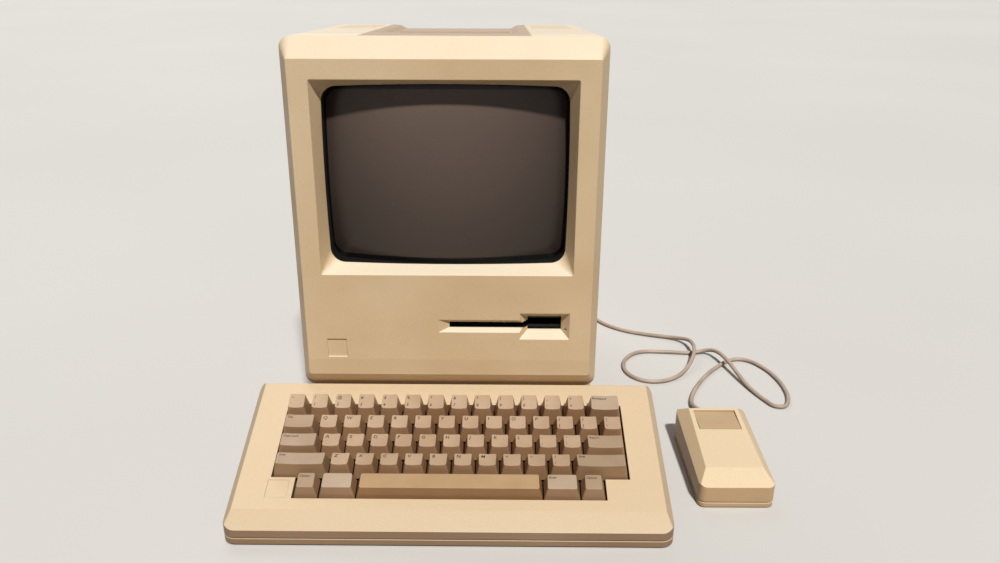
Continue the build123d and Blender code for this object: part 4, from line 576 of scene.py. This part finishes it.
BOLD = 0.014               # how far a letter's outline is thickened, in the font's own units
CAPITAL = 0.70             # a capital's height in those units
NARROW = 0.92              # how far the letters are narrowed
INK_RISE = 0.05            # the print lies this far over the cap
LEGEND_LEFT = 4.43         # from the left edge of a key's place to its signs
WORD_LEFT = 4.13           # and to its word
# Each sign's baseline, measured up from the cap's middle, and its height.
LETTER, UPPER_SIGN, LOWER_SIGN, WORD = (2.9, 3.2), (3.2, 2.7), (-3.6, 2.7), (4.0, 2.1)


def text_shapes(text, height):
    """A word's filled outline as points and faces, from its lower left corner.

    The font's Q breaks up when its outline is thickened, so it is printed twice, side by side, instead.
    """
    curve = bpy.data.curves.new("word", "FONT")
    curve.body = text
    curve.shear = 0.12
    curve.resolution_u = 4
    curve.offset = 0.0 if text == "Q" else BOLD
    curve.space_character = 1.02
    word = bpy.data.objects.new("word", curve)
    scene.collection.objects.link(word)
    bpy.context.view_layer.update()
    mesh = bpy.data.meshes.new_from_object(word.evaluated_get(bpy.context.evaluated_depsgraph_get()))
    scale = height / CAPITAL
    strikes = (-BOLD, BOLD) if text == "Q" else (0.0,)
    count = len(mesh.vertices)
    points = [((v.co.x + shift) * scale * NARROW, v.co.y * scale) for shift in strikes for v in mesh.vertices]
    faces = [tuple(i + count * k for i in p.vertices) for k in range(len(strikes)) for p in mesh.polygons]
    bpy.data.objects.remove(word)
    bpy.data.curves.remove(curve)
    bpy.data.meshes.remove(mesh)
    return points, faces


def legends(name, body, row, marks):
    """One node's printed characters. Each mark is (key width, key middle, text, left, (baseline, height))."""
    points, faces = [], []
    for width, middle, text, left, (base, height) in marks:
        shape, outlines = text_shapes(text, height)
        first = len(points)
        for x, y in shape:
            u, v = left + x, base + y
            high = cap_top(row, width, u, v) + INK_RISE
            points.append(on_deck(middle + u, (row + 0.5) * PITCH + v, high))
        faces.extend([tuple(first + i for i in face) for face in outlines])
    mesh = bpy.data.meshes.new(name)
    mesh.from_pydata(points, [], faces)
    mesh.materials.append(legend_ink)
    add_mesh(name, mesh, body)


LEGENDS = (
    ("Option", "", "", "Enter", "Option"),
    ("Shift", "Z", "X", "C", "V", "B", "N", "M", ",<", ".>", "/?", "Shift"),
    ("Caps Lock", "A", "S", "D", "F", "G", "H", "J", "K", "L", ";:", "'\"", "Return"),
    ("Tab", "Q", "W", "E", "R", "T", "Y", "U", "I", "O", "P", "[{", "]}", "\\|"),
    ("`~", "1!", "2@", "3#", "4$", "5%", "6^", "7&", "8*", "9(", "0)", "-_", "=+", "Backspace"),
)
ROW_NODES = ("keys_option", "keys_bottom_row", "keys_home_row", "keys_top_row", "keys_number_row")
# Keys that aren't in their row's node, by row and place in it.
SINGLE_NODES = {
    (4, 13): "key_backspace", (3, 0): "key_tab", (2, 0): "key_caps_lock", (2, 12): "key_return",
    (1, 0): "key_shift_left", (1, 11): "key_shift_right", (0, 3): "key_enter",
}


def print_legends():
    marks = {}
    for row, words in enumerate(LEGENDS):
        x = -sum(ROW_WIDTHS[row]) * PITCH / 2
        for column, (width, word) in enumerate(zip(ROW_WIDTHS[row], words)):
            edge, middle = -width * PITCH / 2, x + width * PITCH / 2
            x += width * PITCH
            node = SINGLE_NODES.get((row, column), ROW_NODES[row])
            spots = marks.setdefault((node, row), [])
            if len(word) == 1:
                spots.append((width, middle, word, edge + LEGEND_LEFT, LETTER))
            elif len(word) == 2:
                spots.append((width, middle, word[1], edge + LEGEND_LEFT, UPPER_SIGN))
                spots.append((width, middle, word[0], edge + LEGEND_LEFT, LOWER_SIGN))
            elif word:
                spots.append((width, middle, word, edge + WORD_LEFT, WORD))
    for (node, row), spots in marks.items():
        legends("legend_" + node, node + "_body", row, spots)


print_legends()


# ---------------------------------------------------------------- mouse cord

# The cord's control points, from the plug at the computer's back to the mouse.
CORD_ROUTE = (
    (79.0, 183.9, 22.6), (79.0, 197.9, 22.6),
    (83.0, 209.0, 14.0), (95.0, 217.0, 5.0), (111.0, 215.0, 2.0), (127.0, 205.0, 2.0),
    (141.0, 188.0, 2.0), (147.0, 167.0, 2.0), (150.0, 147.0, 2.0), (160.0, 125.0, 2.0),
    (181.0, 106.0, 2.0), (208.0, 95.0, 2.0), (238.0, 86.0, 3.0), (250.5, 65.0, 10.5),
    (249.0, 36.0, 10.5), (234.0, 6.0, 3.0), (212.0, -14.0, 2.0), (187.0, -15.0, 2.0),
    (171.0, 4.0, 2.0), (172.0, 32.0, 2.0), (190.0, 54.0, 2.0), (220.0, 53.0, 2.0),
    (248.0, 49.5, 2.0), (263.0, 51.5, 5.0), (272.0, 40.0, 10.5), (279.0, 13.0, 10.5),
    (286.0, -14.0, 4.0), (293.0, -36.0, 2.0), (299.5, -51.5, 2.0), (304.5, -63.0, 2.0),
    (316.8, -63.5, 2.0), (324.5, -43.0, 2.0), (325.0, -16.0, 2.0), (319.0, 12.0, 2.0),
    (305.0, 35.0, 2.0), (288.0, 37.0, 2.0), (272.0, 23.0, 2.0), (252.0, -1.0, 2.0),
    (236.0, -29.0, 2.0), (228.5, -48.0, 2.0), (225.7, -64.0, 3.5),
    (229.793, -85.002, 9.6), (229.866, -99.002, 9.6),
)


def mouse_cord():
    curve = bpy.data.curves.new("mouse_cord_line", "CURVE")
    curve.dimensions = "3D"
    curve.bevel_depth = 0.002    # metres
    curve.bevel_resolution = 6
    spline = curve.splines.new("NURBS")
    spline.points.add(len(CORD_ROUTE) - 1)
    for point, (x, y, z) in zip(spline.points, CORD_ROUTE):
        point.co = (*local(x, y, z), 1)
    spline.order_u = 3
    spline.use_endpoint_u = True
    spline.resolution_u = 12
    curve.materials.append(cord_skin)
    piece = bpy.data.objects.new("mouse_cord_line", curve)
    scene.collection.objects.link(piece)
    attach(piece, "computer")
    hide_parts("mouse_cord")


mouse_cord()


# ---------------------------------------------------------------- floor and light

FLOOR_REACH = 6    # metres each way


def floor_plane():
    """A pale floor where it is seen, that throws little light back at the object."""
    n = Nodes("floor_card")
    pale = n.ramp(n.noise(1.4, 2.0), [(0.3, srgb(205, 203, 200)), (0.7, srgb(209, 207, 204))])
    path = n.new("LightPath").outputs
    seen = n.math("MAXIMUM", path["Is Camera Ray"], path["Is Glossy Ray"])
    seen = n.math("MAXIMUM", seen, path["Is Transmission Ray"])
    n.bump(n.noise(500.0, 2.0), distance=0.00005, strength=0.15)
    material = n.set(Base_Color=n.mix(seen, srgb(76, 74, 72), pale), Roughness=0.7)
    mesh = bpy.data.meshes.new("floor")
    corners = [(FLOOR_REACH * x, FLOOR_REACH * y, 0) for x, y in ((-1, -1), (1, -1), (1, 1), (-1, 1))]
    mesh.from_pydata(corners, [], [(0, 1, 2, 3)])
    mesh.materials.append(material)
    floor = bpy.data.objects.new("floor", mesh)
    scene.collection.objects.link(floor)


def sun_light(name, azimuth, elevation, spread, strength, colour=(1, 1, 1)):
    """Light from far away. Azimuth counts from the front to the right, and spread softens the shadows."""
    data = bpy.data.lights.new(name, "SUN")
    data.angle = radians(spread)
    data.energy = strength
    data.color = colour
    lamp = bpy.data.objects.new(name, data)
    scene.collection.objects.link(lamp)
    turn, rise = radians(azimuth), radians(elevation)
    towards = Vector((sin(turn) * cos(rise), -cos(turn) * cos(rise), sin(rise)))
    lamp.rotation_euler = towards.to_track_quat("Z", "Y").to_euler()


def studio_world(light, shown):
    """Faint light from all round, and a pale backdrop where the world itself is seen."""
    world = bpy.data.worlds.new("studio")
    world.use_nodes = True
    tree = world.node_tree
    sky = tree.nodes["Background"]
    sky.inputs["Color"].default_value = (0.86, 0.85, 0.83, 1)
    path = tree.nodes.new("ShaderNodeLightPath").outputs
    seen = path["Is Camera Ray"]
    for ray in ("Is Glossy Ray", "Is Transmission Ray"):
        either = tree.nodes.new("ShaderNodeMath")
        either.operation = "ADD"
        tree.links.new(seen, either.inputs[0])
        tree.links.new(path[ray], either.inputs[1])
        seen = either.outputs[0]
    level = tree.nodes.new("ShaderNodeMapRange")
    level.inputs["To Min"].default_value = light
    level.inputs["To Max"].default_value = shown
    tree.links.new(seen, level.inputs["Value"])
    tree.links.new(level.outputs["Result"], sky.inputs["Strength"])
    scene.world = world


floor_plane()
sun_light("key_light", azimuth=14, elevation=53, spread=4, strength=3.7, colour=(1, 0.98, 0.94))
sun_light("back_light", azimuth=200, elevation=42, spread=40, strength=0.6)
studio_world(light=0.1, shown=0.8)
scene.view_settings.view_transform = "Standard"
